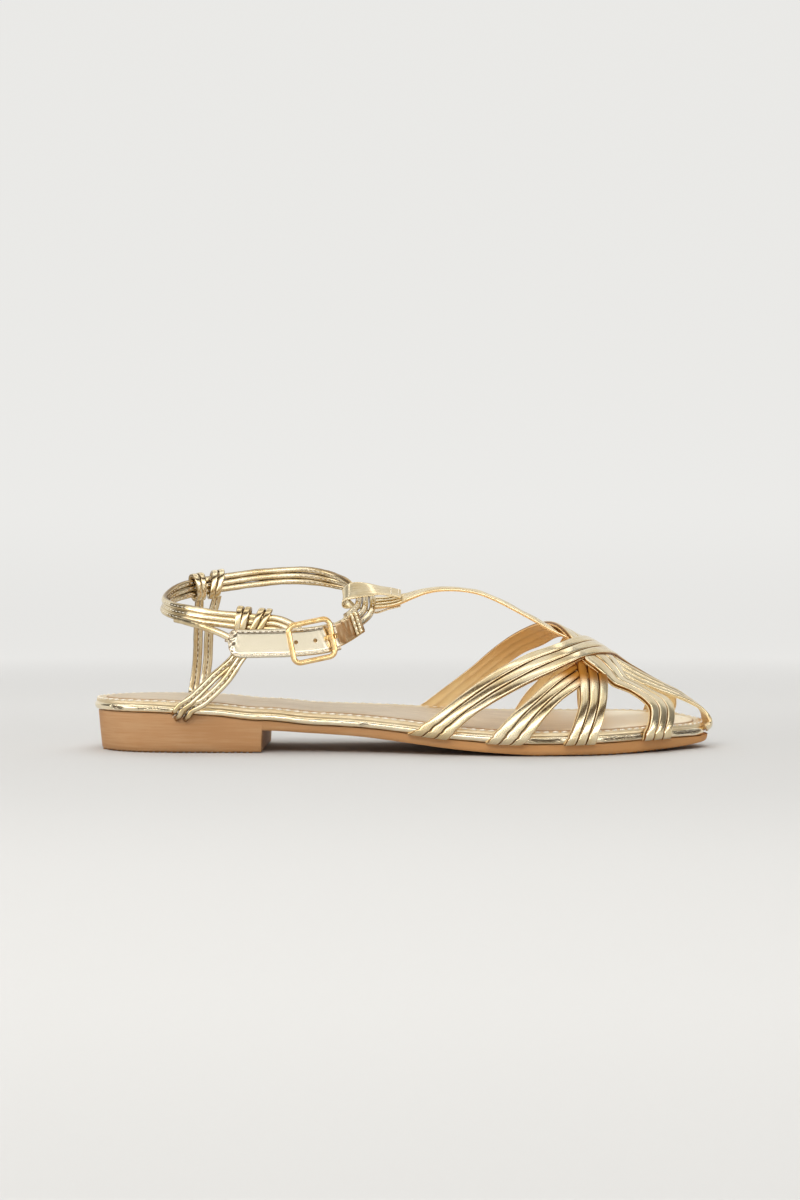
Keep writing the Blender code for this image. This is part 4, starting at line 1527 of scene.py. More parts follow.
BANDS = (
    Band("outer_rear", 3.6, (
        (0.8, -60, 15.7, -60), (5, 0, 18.6, 0), (9.5, 4.5, 21.5, 3.5), (15, 10, 26.5, 8.5),
        (22, 17, 32.5, 13.5), (34.2, 29, 43.5, 22.5), (45.8, 40, 54.5, 32), (53.3, 47, 61.3, 40),
        (60, 56, 67.5, 48.5), (66, 68, 73.5, 58), (71, 83, 79, 70), (75, 98, 83.5, 84),
        (79, 112, 88.5, 97), (84, 124, 94.5, 106), (90, 131, 101, 113), (96.5, 137, 107.5, 118),
        (100.5, 147, 111.5, 127), (102, 160, 113.2, 150), (101.5, 172, 113, 168),
        (100.5, 180, 112.2, 180), (99.5, 240, 111.5, 240),
    ), 3),
    Band("inner_rear", 2.5, (
        (3, 240, 19, 240), (5, 180, 21.5, 180), (9.5, 175, 24.5, 176), (14.9, 170, 28.5, 171),
        (27.8, 157, 39.5, 157), (40.5, 139, 50, 142.5), (50.2, 122, 58.3, 130), (56.4, 104, 64, 112),
        (60.5, 84, 69, 98), (64.5, 63, 74, 88), (69, 47, 79, 78), (75, 44, 84, 73),
        (81.5, 45, 89, 71), (87.5, 46, 94.5, 68), (91.8, 42, 99.8, 62), (94.4, 32, 104.2, 51),
        (95.2, 24, 106.2, 34), (94.6, 13, 105.6, 17), (93.6, 5, 104.6, 6), (92.5, 0, 104.2, 0),
        (92.2, -60, 104.6, -60),
    ), 5, ((0, 1), (0.52, 1), (0.56, 0.4), (0.61, -0.6), (0.70, -0.6), (0.78, 0), (1, 0))),
    Band("outer_mid", 0, (
        (30.5, -60, 43.9, -60), (33, 0, 47.5, 0), (36, 4, 49.8, 4), (40.5, 10, 53.2, 10),
        (47.3, 18, 59, 19), (55.9, 31, 66, 29), (63.2, 42, 72, 40), (68.5, 54, 77.3, 51),
        (72, 69, 81, 66), (74.5, 85, 83.5, 83), (75.5, 100, 85, 99), (75.7, 115, 85.6, 114),
        (75.2, 130, 85.5, 128), (74.2, 146, 85.3, 146), (74.4, 162, 85.5, 162), (75, 175, 86, 175),
        (75.5, 180, 86.5, 180), (76, 240, 87.5, 240),
    ), 7, shadow=(25, 38)),
    Band("inner_mid", 1.1, (
        (44, 240, 56.5, 240), (46.8, 180, 59.5, 180), (49, 175, 61.5, 176), (52.3, 168, 64.5, 169),
        (57.5, 158, 69, 158), (61.8, 145, 72.3, 144), (64, 128, 74, 127), (65, 109, 75, 109),
        (65.3, 91, 76, 92), (65.4, 73, 76.7, 76), (65.6, 57, 77.2, 61), (65.7, 44, 77.6, 49),
        (66.3, 34, 77.9, 39), (66.5, 22, 77.2, 26), (64.3, 9, 75.2, 10), (62.9, 3.5, 74, 4),
        (61.8, 0, 73.2, 0), (60.3, -60, 72.5, -60),
    ), 9, shadow=(29, 41)),
)


@dataclass
class Vamp:
    """Four crossing bands of padded strips, gold outside and ochre inside."""

    gold: Material
    ochre: Material
    bands: tuple[Band, ...] = BANDS
    wall: float = 1.8
    skive: float = 0.9
    foot: float = -60.0
    lift_start: float = 15.0
    lift_turn: float = 50.0
    lining: float = 0.42
    gap_share: float = 0.020
    flat: float = 0.93
    # part of a strip's half width over which its side gets painted shade towards the groove
    groove: tuple[float, float] = (0.79, 0.97)
    # how strongly a band gets painted shade and the painted reflection of the lining over it, and the degrees
    # at which that ends
    shade: float = 0.78
    shade_end: tuple[float, float] = (65.0, 85.0)
    ridge: float = 0.30
    # hand-made unevenness along each strip: its place and its width across the band, and its height
    wander: float = 0.003
    breath: float = 0.012
    puff: float = 0.022
    stations: int = 230
    points: int = 26

    def frame(self, band: Band) -> tuple[Array, Array, Array]:
        """Rows along a band, with its lift and its tuck at each.

        Args:
            band: which band.

        Returns:
            The rows, the height over the last and the share of the full wall.
        """
        rows = follow(band.rows, self.stations)
        middle = (rows[:, 1] + rows[:, 3]) / 2
        folded = np.minimum(middle, 180 - middle)
        over = smooth_step(folded, self.lift_start, self.lift_start + self.lift_turn)
        tuck = np.clip((folded - self.foot) / self.lift_turn, 0, 1)
        left = reading(band.settle, np.linspace(0, 1, self.stations))
        return rows, band.lift * over * left, tuck

    def place(self, rows: Array, across: Array, height: Array) -> Array:
        """Positions on a band.

        Args:
            rows: rows along it.
            across: places across it, from 0 at the rear edge to 1 at the front.
            height: heights over the last.

        Returns:
            Positions, one row for each row of the band.
        """
        x = rows[:, :1] + (rows[:, 2:3] - rows[:, :1]) * across
        degrees = rows[:, 1:2] + (rows[:, 3:4] - rows[:, 1:2]) * across
        return FORM.surface(x, degrees) + FORM.normal(x, degrees) * height[..., None]

    def strips(self, band: Band) -> None:
        """Make the three gold strips of a band.

        Args:
            band: which band.
        """
        rows, lift, tuck = self.frame(band)
        wall = self.skive + (self.wall - self.skive) * tuck
        c, s = circle(self.points, math.pi / self.points)
        square = bent(c, 0.5)
        crown = np.sqrt(1 - np.abs(c) ** 6) * (self.flat + (1 - self.flat) * (1 - np.abs(c)))
        crown = np.where(s > 0, crown, -0.10)
        middle = (rows[:, 1] + rows[:, 3]) / 2
        # painted shade and reflection where the band runs under the band above
        shadow = self.shade * plateau(middle, band.shadow, self.shade_end)
        # painted shade in the grooves between the strips
        groove = np.clip(0.95 * smooth_step(np.abs(c), *self.groove)[None] + shadow[:, None], 0, 1)
        centre = self.place(rows, np.array([[0.5]]), np.array([[0.0]]))
        travelled = run_length(centre[:, 0])[:, None]
        draft = Draft()
        for strip in range(3):
            wander = self.wander * ripple(travelled, 30.0, band.seed * 7 + strip)
            breath = 1 + self.breath * ripple(travelled, 17.0, band.seed * 11 + strip)
            half = (1 / 6 - self.gap_share / 2) * breath
            across = (strip + 0.5) / 3 + wander + half * square[None]
            puff = 1 + self.puff * ripple(travelled, 15.0, band.seed * 13 + strip)
            height = lift[:, None] + self.lining + (wall[:, None] - self.lining) * crown[None] * puff
            draft.grid(self.place(rows, across, height), depth=groove)
        draft.finish(f"band_{band.name}_strips", self.gold, "upper")

    def under(self, band: Band) -> None:
        """Make the ochre lining of a band, softly ridged along its strips.

        Args:
            band: which band.
        """
        rows, lift, _ = self.frame(band)
        top = np.linspace(1.012, -0.012, 14)
        inside = np.linspace(-0.004, 1.004, 26)
        across = np.concatenate((top, inside))[None]
        pad = np.abs(np.sin(3 * math.pi * inside)) ** 0.6
        shape = np.concatenate((np.full(14, self.lining), self.ridge * pad + 0.05 - 0.22))
        height = lift[:, None] + shape
        # the valleys between the ridges get painted shade
        valley_shade = np.concatenate((np.zeros(14), (1 - pad) ** 2))
        draft = Draft()
        draft.grid(self.place(rows, across, height), depth=valley_shade)
        draft.finish(f"band_{band.name}_lining", self.ochre, slot="ochre_lining")

    def build(self) -> None:
        """Make all bands."""
        for band in self.bands:
            self.strips(band)
            self.under(band)


@dataclass
class CentreStrap:
    """Narrow strap from under the toe tip over the crown to its loop round the ankle cord."""

    gold: Material
    ochre: Material
    thread: Material
    # x, z and y of the strap's middle
    rows: Table = (
        (123.1, 6.7, 4), (124.4, 7.7, 4), (125.2, 9.4, 4), (124.3, 12, 4), (120.2, 16.6, 2.6),
        (111.7, 22.2, -1), (100, 27.5, -5), (87.7, 33.7, -6.4), (75, 41.4, -2.4), (66, 46, 0.2),
        (58.3, 49.3, 1.5), (49.4, 54.2, 1.7), (35.9, 61.1, 1.6), (27, 63.9, 1.4), (16.3, 64.8, 1.2),
        (8, 64, 1.1), (0.1, 61.9, 1), (-7, 60.5, 1), (-13, 60, 1),
    )
    # x, and how many degrees the strap rolls towards the outer side there
    rolls: Table = (
        (-13, 26), (-4, 22), (2, 13), (11, 6), (22, 3.5), (36, 5.5), (49, 6.5),
        (62, 9), (75, 18), (84, 32), (91, 33), (100, 25), (111, 16), (119, 6),
        (125, 0),
    )
    width: float = 9.6
    wall: float = 1.5
    lining: float = 0.65
    stations: int = 260
    # share by which the strap widens at the toe, and the radius of its bend there
    toe_spread: float = 0.7
    toe_bend: float = 13.0
    loop_rise: float = 0.3
    loop_points: int = 130
    loop_tail: float = 14.2
    fork_tail: float = 14.6
    loop_wall: float = 0.93
    # degrees by which the upper and the lower layer roll
    loop_rolls: tuple[float, float] = (0.0, -13.0)
    loop_bulge: float = 28.0
    # distance ahead of the cord's middle, and height over it, of each row of stitches across the loop
    seams: Table = ((10.2, 3.95), (13.2, 3.45))
    seam_inset: float = 0.9
    stitch: SewnRow = field(default_factory=lambda: SewnRow(1.5, 1.15, 0.45, 0.4, seed=21))

    def path(self) -> tuple[Array, Array]:
        """The strap's middle and the direction of its width."""
        x, z, y = spline(self.rows, self.stations).T
        points = even(np.column_stack((x, y, z)), 0.75)
        roll = np.radians(reading(self.rolls, points[:, 0]))
        roll = np.where(points[:, 2] < 12.0, roll * smooth_step(points[:, 2], 6.0, 12.0), roll)
        points[:, 2] -= self.width / 4 * np.sin(roll)
        return points, np.column_stack((np.zeros(len(points)), np.cos(roll), np.sin(roll)))

    def strips(self) -> None:
        """Make the three gold strips and the lining under them."""
        path, wides = self.path()
        c, s = circle(14, math.pi / 14)
        pitch = self.width / 3
        along = run_length(path)[:, None]
        low, high = -self.wall / 2 + self.lining, self.wall / 2
        foot = (1 - smooth_step(path[:, 2:], 8.5, 15.5)) * (path[:, :1] > 100.0)
        broad, hollow = 1 + self.toe_spread * foot, foot / (2 * self.toe_bend)
        draft = Draft()
        for strip in range(3):
            middle = (strip - 1) * pitch + 0.06 * ripple(along, 22.0, 61 + strip)
            a = (middle + (pitch / 2 - 0.13) * bent(c, 0.75)) * broad
            puff = 1 + 0.08 * ripple(along, 10.0, 71 + strip)
            b = low + (high - low) * np.where(s > 0, np.abs(s) ** 0.6, 0.05 * s) * puff - hollow * a ** 2
            draft.skin(path, wides, a, b)
        draft.finish("centre_strips", self.gold)
        w = self.width / 2
        across = np.concatenate((np.linspace(-w, w, 9), np.linspace(w, -w, 9)))[None] * broad
        rise = np.concatenate((np.full(9, -self.wall / 2), np.full(9, low + 0.02))) - hollow * across ** 2
        base = Draft()
        base.skin(path, wides, across, rise)
        base.finish("centre_lining", self.ochre, slot="ochre_lining", sharp=40.0)

    def loop_section(self) -> tuple[Array, Array, Array]:
        """Section of the loop at each place along it.

        Returns:
            Places across its width, heights at them and its roll in radians.
        """
        c, s = circle(20)
        along = np.linspace(0, 1, self.loop_points)[:, None]
        waist = 1 - 0.16 * plateau(along, (0.30, 0.55), (0.62, 0.95))
        upper, lower = self.loop_rolls
        bulge = self.loop_bulge * plateau(along, (0.15, 0.42), (0.56, 0.7))
        tilt = np.radians(upper + (lower - upper) * smooth_step(along, 0.56, 0.7) + bulge)
        return self.width / 2 * waist * bent(c, 0.35), self.loop_wall / 2 * bent(s, 0.6), tilt

    def loop(self) -> None:
        """Make the folded end round the cord, with its two rows of stitches."""
        points, tangents, lies = ROUTE.frames(400)
        front = np.where(points[:, 0] > -40.0, np.abs(points[:, 1] - self.rows[-1][2]), 1e3)
        place = int(np.argmin(front))
        centre, tangent, flat = points[place], tangents[place], lies[place]
        thin = np.cross(tangent, flat)
        if thin[2] < 0:
            thin = -thin
        if flat[0] < 0:
            flat = -flat
        high = ROUTE.thickness / 2 + FORM.gap + self.wall / 2 + self.loop_rise
        # distance ahead of the cord's middle and height over it: the upper layer, then the lower one
        over = (
            (self.loop_tail, 3.2), (11.0, 3.8), (7.0, 4.2), (2.5, 4.3), (-2.5, 4.0), (-6.5, 3.1), (-8.8, 1.0),
        )
        beneath = (
            (-8.2, -1.5), (-5.0, -high), (0.0, -high - 1.2), (4.6, -high - 2.1), (9.5, -3.0),
            (self.fork_tail, -1.3),
        )
        spots = spline([*over, *beneath], self.loop_points)
        path = centre + flat * spots[:, :1] + thin * spots[:, 1:]
        a, b, tilt = self.loop_section()
        outer = tangent * math.copysign(1, -tangent[1])
        wides = outer * np.cos(tilt) - thin * np.sin(tilt)
        draft = Draft()
        draft.skin(path, wides, a, b)
        draft.finish("centre_loop", self.gold)
        half = self.width / 2 - self.seam_inset
        side = np.linspace(-half, half, 12)
        lines = []
        for run, stand in self.seams:
            top = centre + flat * run + thin * (stand + self.loop_wall / 2)
            lines.append(Line(top + wides[0] * side[:, None], np.tile(thin, (12, 1))))
        self.stitch.sew("loop_stitches", lines, self.thread)

    def build(self) -> None:
        """Make the strap's pieces."""
        self.strips()
        self.loop()


# --- ankle ---
@dataclass
class Strand:
    """Narrow strip of leather rolled over a thin core."""

    width: float = 2.6
    thickness: float = 2.4
    seed: int = 1
    # power that bends its round section: below 1 it is squarer
    squareness: float = 0.85
    # depth of the groove along its stitches, as a share of the thickness
    groove: float = 0.14
    # painted shade on the outer and the inner face
    face_shade: tuple[float, float] = (0.0, 0.0)
    # painted shade on its two edges, where it meets its neighbours
    shade: float = 0.72
    # length at its start that lies in the shade under the rim
    foot: float = 0.0

    def skin(self, draft: Draft, path: Array, wides: Array, closed: bool = False) -> None:
        """Draw the strand.

        Args:
            draft: where it is drawn.
            path: its middle.
            wides: direction of its width at each place.
            closed: whether it joins its start.
        """
        along = run_length(path)[:, None]
        c, s = circle(20)
        if closed:
            swell = np.ones_like(along)
        else:
            swell = 1 + 0.03 * ripple(along, 9.0, self.seed) + 0.012 * ripple(along, 3.2, self.seed + 50)
        dent = 1 - self.groove * np.exp(-((c / 0.22) ** 2))
        a = self.width / 2 * bent(c, self.squareness) * swell
        b = self.thickness / 2 * bent(s, self.squareness) * dent * swell
        # painted shade: in the stitch groove, along both edges and over the foot under the rim
        dent = np.exp(-((c / 0.22) ** 2)) * (0.22 if self.groove else 0.0)
        sides = self.shade * smooth_step(np.abs(c), 0.66, 0.95) + 0.7 * np.clip(self.foot - along, 0, 1)
        depth = np.clip(np.where(s > 0, self.face_shade[0], self.face_shade[1]) + dent + sides, 0, 1)
        draft.skin(path, wides, a, b, closed=closed, depth=depth)

    def seam(self, path: Array, wides: Array, face: int = 1) -> Line:
        """Line of the strand's stitches.

        Args:
            path: its middle.
            wides: direction of its width at each place.
            face: 1 for the outward face, -1 for the other.

        Returns:
            The line, on the surface.
        """
        tangents = headings(path)
        ups = unit(np.cross(unit(wides), tangents)) * face
        return Line(path + ups * (self.thickness / 2 * (1 - self.groove) + 0.06), ups)


@dataclass
class AnkleCord:
    """Three rolled strands lying on each other, from the outer side round the heel to the front."""

    gold: Material
    thread: Material
    strand: Strand = field(default_factory=Strand)
    pitch: float = 2.62
    step: float = 0.6
    # share of the way along, and how far apart the strands lie there, in pitches
    fan: Table = (
        (0, 0.8), (0.08, 0.82), (0.22, 0.84), (0.32, 1), (0.42, 0.98), (0.55, 0.96), (0.74, 0.98),
        (0.84, 1.02), (0.9, 1.08), (0.95, 1.15), (1, 1),
    )
    # share of the way along, and how far the top strand crosses towards the lowest at the heel
    cross: Table = ((0, 0), (0.20, 0), (0.33, 0.6), (0.46, 0), (1, 0))
    # where the strands cross, how much closer the outer two lie and how far each stands out
    closing: float = 0.42
    proud: tuple[float, ...] = (0.0, -0.5, 0.9)
    # strand that leaves the cord for the buckle strap's end
    tail: Table = (
        (-92, -14.5, 52.4), (-86, -21.5, 51.2), (-79, -27.6, 49.4), (-73, -30.6, 47.4),
        (-68.6, -31.6, 45.4),
    )
    tail_width: float = 2.7
    tail_thickness: float = 2.0
    stitch: SewnRow = field(default_factory=lambda: SewnRow(2.25, 1.5, 0.32, 0.26, seed=31))

    def build(self) -> None:
        """Make the strands and their stitches."""
        points, tangents, lies = ROUTE.frames(420)
        lengths = run_length(points)
        share = lengths / lengths[-1]
        outs = np.cross(lies, tangents)
        spread = reading(self.fan, share)
        cross = reading(self.cross, share)
        draft, lines = Draft(), []
        for k, stand in zip((-1, 0, 1), self.proud):
            wander = 0.10 * ripple(lengths, 30.0, 80 + k)
            shift = k * self.pitch * spread * (1 - cross * (self.closing if k else 0.0)) + wander
            proud = cross * stand * self.strand.thickness * 0.4
            path = points + lies * shift[:, None] + outs * proud[:, None]
            both = even(np.hstack((path, lies)), self.step)
            # the inner face gets painted shade
            strand = Strand(self.strand.width, self.strand.thickness, 90 + 3 * k, face_shade=(0.0, 0.16))
            strand.skin(draft, both[:, :3], both[:, 3:])
            lines += [strand.seam(both[:, :3], both[:, 3:], face) for face in (1, -1)]
        tail = even(spline(self.tail, 60), self.step)
        upright = np.tile((0.0, 0.0, 1.0), (len(tail), 1))
        strand = Strand(self.tail_width, self.tail_thickness, 98, 0.8)
        strand.skin(draft, tail, upright)
        lines.append(strand.seam(tail, upright))
        draft.finish("ankle_strands", self.gold, "ankle_cord")
        self.stitch.sew("ankle_stitches", lines, self.thread)


@dataclass(frozen=True)
class HeelStrip:
    """Way of one doubled strip."""

    # x at the rim
    rim_x: float
    # points on the way up
    middle: Table
    # x of its knot on the cord
    knot_x: float
    # how far the top of the knot leans along the cord
    lean: float
    # how much further back than rim_x the strip starts under the rim
    slant: float


@dataclass(frozen=True)
class Perch:
    """Place on the ankle cord: its middle, and the directions along, across and up its pile of strands."""

    spot: Array
    along: Array
    aside: Array
    up: Array


@dataclass
class HeelStraps:
    """Two doubled strips on one side, from under the rim to their knots on the cord."""

    side: Side
    name: str
    strips: tuple[HeelStrip, ...]
    gold: Material
    thread: Material
    roll: float = 2.0
    strip_wall: float = 1.5
    # painted shade on the strips' outer and inner face
    face_shade: tuple[float, float] = (0.0, 0.0)
    ease: float = 0.1
    knot_ease: float = 0.15
    # degrees round the rim from which the strips start
    foot: tuple[float, ...] = (-88.0, -40.0, 0.0)
    # length over which the two halves come together above the rim
    parting: float = 16.0
    # how far a half lies from the strip's middle in roll widths: what the rim adds, then what stays
    apart: tuple[float, float] = (0.22, 0.49)
    # a knot's two turns: the distance of each from its middle, their width and their wall
    turn_apart: float = 1.22
    turn_width: float = 2.45
    turn_wall: float = 1.5
    stitch: SewnRow = field(default_factory=lambda: SewnRow(2.25, 1.5, 0.38, 0.30, seed=37))

    @property
    def reach(self) -> float:
        """Distance from the surface that a strip lies on to the strip's middle."""
        return FORM.gap + self.ease + self.strip_wall / 2

    def perch(self, strip: HeelStrip) -> Perch:
        """Place on the cord where a strip is knotted.

        Args:
            strip: which strip.

        Returns:
            The place.
        """
        points, tangents, lies = ROUTE.frames(420)
        away = np.where(points[:, 1] * self.side.value > 0, np.abs(points[:, 0] - strip.knot_x), 1e3)
        k = int(np.argmin(away))
        along = -tangents[k] if tangents[k][0] < 0 else tangents[k]
        return Perch(points[k], along, unit(np.cross(along, lies[k])), lies[k])

    def way(self, strip: HeelStrip, perch: Perch) -> tuple[Array, Array]:
        """Middle of a strip from under the rim to the cord, and the direction of its width.

        Args:
            strip: which strip.
            perch: where it is knotted.

        Returns:
            The points and the directions.
        """
        shift = np.array((-strip.slant, -0.55 * strip.slant, 0.0))
        foot = FORM.rim_point(strip.rim_x + shift, self.side, np.array(self.foot), self.reach)
        under = perch.spot - perch.up * (ROUTE.height / 2 + self.reach + self.knot_ease - 0.2)
        way = spline([*foot, *strip.middle, tuple(under)], 80)
        square = unit(np.cross(headings(way), (0.0, float(self.side.value), 0.1)))
        square = square * np.where(square[:, :1] < 0, -1.0, 1.0)
        share = np.linspace(0, 1, 80)[:, None]
        wides = unit(square * (1 - share ** 3) + perch.along * share ** 3)
        both = even(np.hstack((way, wides)), 0.6)
        return both[:, :3], both[:, 3:]

    def knot(self, draft: Draft, perch: Perch, lean: float, number: int) -> None:
        """Draw the two turns of a strip round the cord.

        Args:
            draft: where they are drawn.
            perch: their place on the cord.
            lean: how far their top leans along the cord.
            number: which strip of the side it is.
        """
        half_wide = ROUTE.thickness / 2 + self.reach + self.knot_ease
        half_high = ROUTE.height / 2 + self.reach + self.knot_ease
        turn = np.linspace(0, 2 * math.pi, 64, endpoint=False)
        c, s = np.cos(turn), np.sin(turn)
        scale = (np.abs(c) ** 3 + np.abs(s) ** 3) ** (-1 / 3)
        for half in (-1, 1):
            swing = lean * s * scale + 0.3 * half * np.sin(turn + 0.8 * number)
            path = (
                perch.spot + perch.aside * (half_wide * c * scale)[:, None]
                + perch.up * (half_high * s * scale)[:, None]
                + perch.along * (half * self.turn_apart + swing)[:, None]
            )
            strand = Strand(self.turn_width, self.turn_wall, 131 + 5 * number + half, 0.7, 0.0)
            strand.skin(draft, path, np.tile(perch.along, (len(path), 1)), closed=True)

    def build(self) -> None:
        """Make the strips, the knots and the stitches."""
        draft, lines = Draft(), []
        added, kept = self.apart
        for number, strip in enumerate(self.strips):
            perch = self.perch(strip)
            self.knot(draft, perch, strip.lean, number)
            way, wides = self.way(strip, perch)
            for half in (-1, 1):
                strand = Strand(self.roll, 1.7, 101 + 7 * number + half, 0.75, 0.0, self.face_shade, foot=3.2)
                near = np.clip(1 - run_length(way) / self.parting, 0, 1)
                apart = half * self.roll * (kept + added * near ** 2)
                strand.skin(draft, way + wides * apart[:, None], wides)
            seam = Strand(self.roll, 1.5, groove=0.0)
            lines += [seam.seam(way, wides, face) for face in (1, -1)]
        draft.finish(f"{self.name}_strips", self.gold, self.name)
        self.stitch.sew(f"{self.name}_stitches", lines, self.thread)


OUTER_STRIPS = (
    HeelStrip(-87.6, ((-84, -31.6, 20.8), (-75.3, -30.7, 29.5), (-66.8, -30, 37.6)), -63.6, 0.3, 3),
    HeelStrip(-83.9, ((-78.3, -31.8, 20.8), (-69.5, -31.6, 29.5), (-64.2, -31, 37.6)), -57, 2, 3.2),
)
INNER_STRIPS = (
    HeelStrip(-90.9, ((-90.4, 30.2, 22.6), (-88.9, 29.6, 34), (-88.2, 27.6, 47.7)), -88, 0.2, 0.3),
    HeelStrip(-87, ((-86.2, 30.4, 22.6), (-84.5, 30.2, 34), (-83.6, 28.8, 47.7)), -81, 1.9, 0.5),
)


# --- buckle ---
@dataclass
class BuckleStrap:
    """Strap with punched holes, stitched along both edges."""

    gold: Material
    ochre: Material
    thread: Material
    rows: Table = (
        (-70.2, -31, 44.3), (-68, -31.9, 43.8), (-64, -32.8, 43.1), (-55, -33.4, 43.2),
        (-45, -33.5, 43.5), (-36, -32.6, 44.2), (-30, -31, 45.2), (-26.8, -29.6, 46),
    )
    width: float = 11.2
    wall: float = 1.5
    backing_wall: float = 0.7
    backing_inset: float = 0.7
    # where the backing starts and ends, counted in places along the strap, and where the stitches do
    backing_span: tuple[int, int] = (10, -3)
    stitch_span: tuple[int, int] = (8, -4)
    holes: tuple[float, ...] = (-42.6, -35.3)
    hole_radius: float = 0.8
    punch: float = 4.0
    stitch_inset: float = 1.15
    # how far the stitches press a groove to either side of them, and its depth as a share of the wall
    seam_spread: float = 0.26
    seam_depth: float = 0.22
    # length over which the rear end is rounded, and how many degrees the strap leans back
    nose: float = 5.0
    lean: float = -8.0
    stitch: SewnRow = field(default_factory=lambda: SewnRow(2.2, 1.55, 0.42, 0.34, seed=43))

    def backing(self, path: Array, wides: Array, outs: Array) -> None:
        """Make the inner leather behind the strap.

        Args:
            path: the strap's middle.
            wides: direction of its width at each place.
            outs: direction out of its face.
        """
        c, s = circle(20)
        a = (self.width / 2 - self.backing_inset) * bent(c, 0.2)
        b = self.backing_wall / 2 * bent(s, 0.5)
        keep = slice(*self.backing_span)
        shifted = path - outs * (self.wall / 2 + self.backing_wall / 2 - 0.05)
        draft = Draft()
        draft.skin(shifted[keep], wides[keep], a, b)
        draft.finish("buckle_strap_backing", self.ochre, slot="ochre_lining")

    def section(self, along: Array) -> tuple[Array, Array, Array]:
        """Section of the strap, with its rounded end, its pleats and the grooves of its stitches.

        Args:
            along: distances from its rear end.

        Returns:
            Places across its width, heights at them and the painted shade at each.
        """
        across = np.concatenate((np.linspace(1, -1, 30), np.linspace(-1, 1, 30)[1:-1]))[None]
        face = np.concatenate((np.ones(30), -np.ones(28)))[None]
        gather = 1 - smooth_step(along, 0.5, 6.5)
        back = np.clip((along - 0.9 * (1 - np.sign(across))) / self.nose, 0, 1)
        nose = np.sqrt(np.clip(1 - (1 - back) ** 2, 0.01, 1))
        a = self.width / 2 * across * nose
        seam = np.exp(-(((np.abs(a) - self.width / 2 + self.stitch_inset) / self.seam_spread) ** 2))
        pad = 1 - self.seam_depth * seam
        b = self.wall / 2 * face * (1 - np.abs(across) ** 9) ** 0.225 * pad
        pleats = gather * 0.55 * np.sin(a * 1.9 + 2.0 * ripple(along, 3.0, 7)) * ripple(along, 2.2, 12)
        worn = smooth_step(along, 36.0, 42.0) * 0.10 * ripple(along + 0.25 * a, 2.4, 19)
        # painted shade in the gathered pleats, where the strap turns away at its front end and along the
        # stitch grooves
        folds = gather * (0.45 + 0.55 * ripple(along + a, 1.9, 16)) + 0.32 * smooth_step(along, 37.0, 42.5)
        return a, b + pleats + worn, np.clip(folds, 0, 1) + 0.5 * seam

    def build(self) -> None:
        """Make the strap and what is on it."""
        path = even(spline(self.rows, 120), 0.5)
        lean = math.radians(self.lean)
        wides = np.tile((0.0, -math.sin(lean), math.cos(lean)), (len(path), 1))
        a, b, depth = self.section(run_length(path)[:, None])
        draft = Draft()
        draft.skin(path, wides, a, b, depth=depth)
        strap = draft.make("buckle_strap_leather")
        self.punch_holes(strap, path)
        finish_piece(strap, self.gold, "gold_leather", "buckle_strap")
        outs = unit(np.cross(wides, headings(path)))
        outs = outs * np.where(outs[:, 1:2] > 0, -1.0, 1.0)
        self.backing(path, wides, outs)
        lines = []
        keep = slice(*self.stitch_span)
        for height in (-1, 1):
            line = path + wides * height * (self.width / 2 - self.stitch_inset)
            for face in (-1, 1):
                spots = line + outs * face * (self.wall / 2 * 0.82 + 0.05)
                lines.append(Line(spots[keep], (outs * face)[keep]))
        self.stitch.sew("buckle_strap_stitches", lines, self.thread)

    def punch_holes(self, strap: Piece, path: Array) -> None:
        """Cut the holes.

        Args:
            strap: the leather to cut.
            path: the strap's middle.
        """
        c, s = circle(20)
        for x in self.holes:
            near = path[int(np.argmin(np.abs(path[:, 0] - x)))]
            ring = np.column_stack((c, 0 * c, s)) * self.hole_radius
            ends = np.stack([near + ring + (0.0, y, 0.0) for y in (-self.punch, self.punch)])
            cutter = Draft()
            cutter.grid(ends)
            tool = cutter.make("punch")
            step = strap.modifiers.new("hole", "BOOLEAN")
            step.operation = "DIFFERENCE"
            step.solver = "EXACT"
            step.object = tool
            freeze(strap)
            strap.data.set_sharp_from_angle(angle=math.radians(60.0))
            bpy.data.objects.remove(tool)


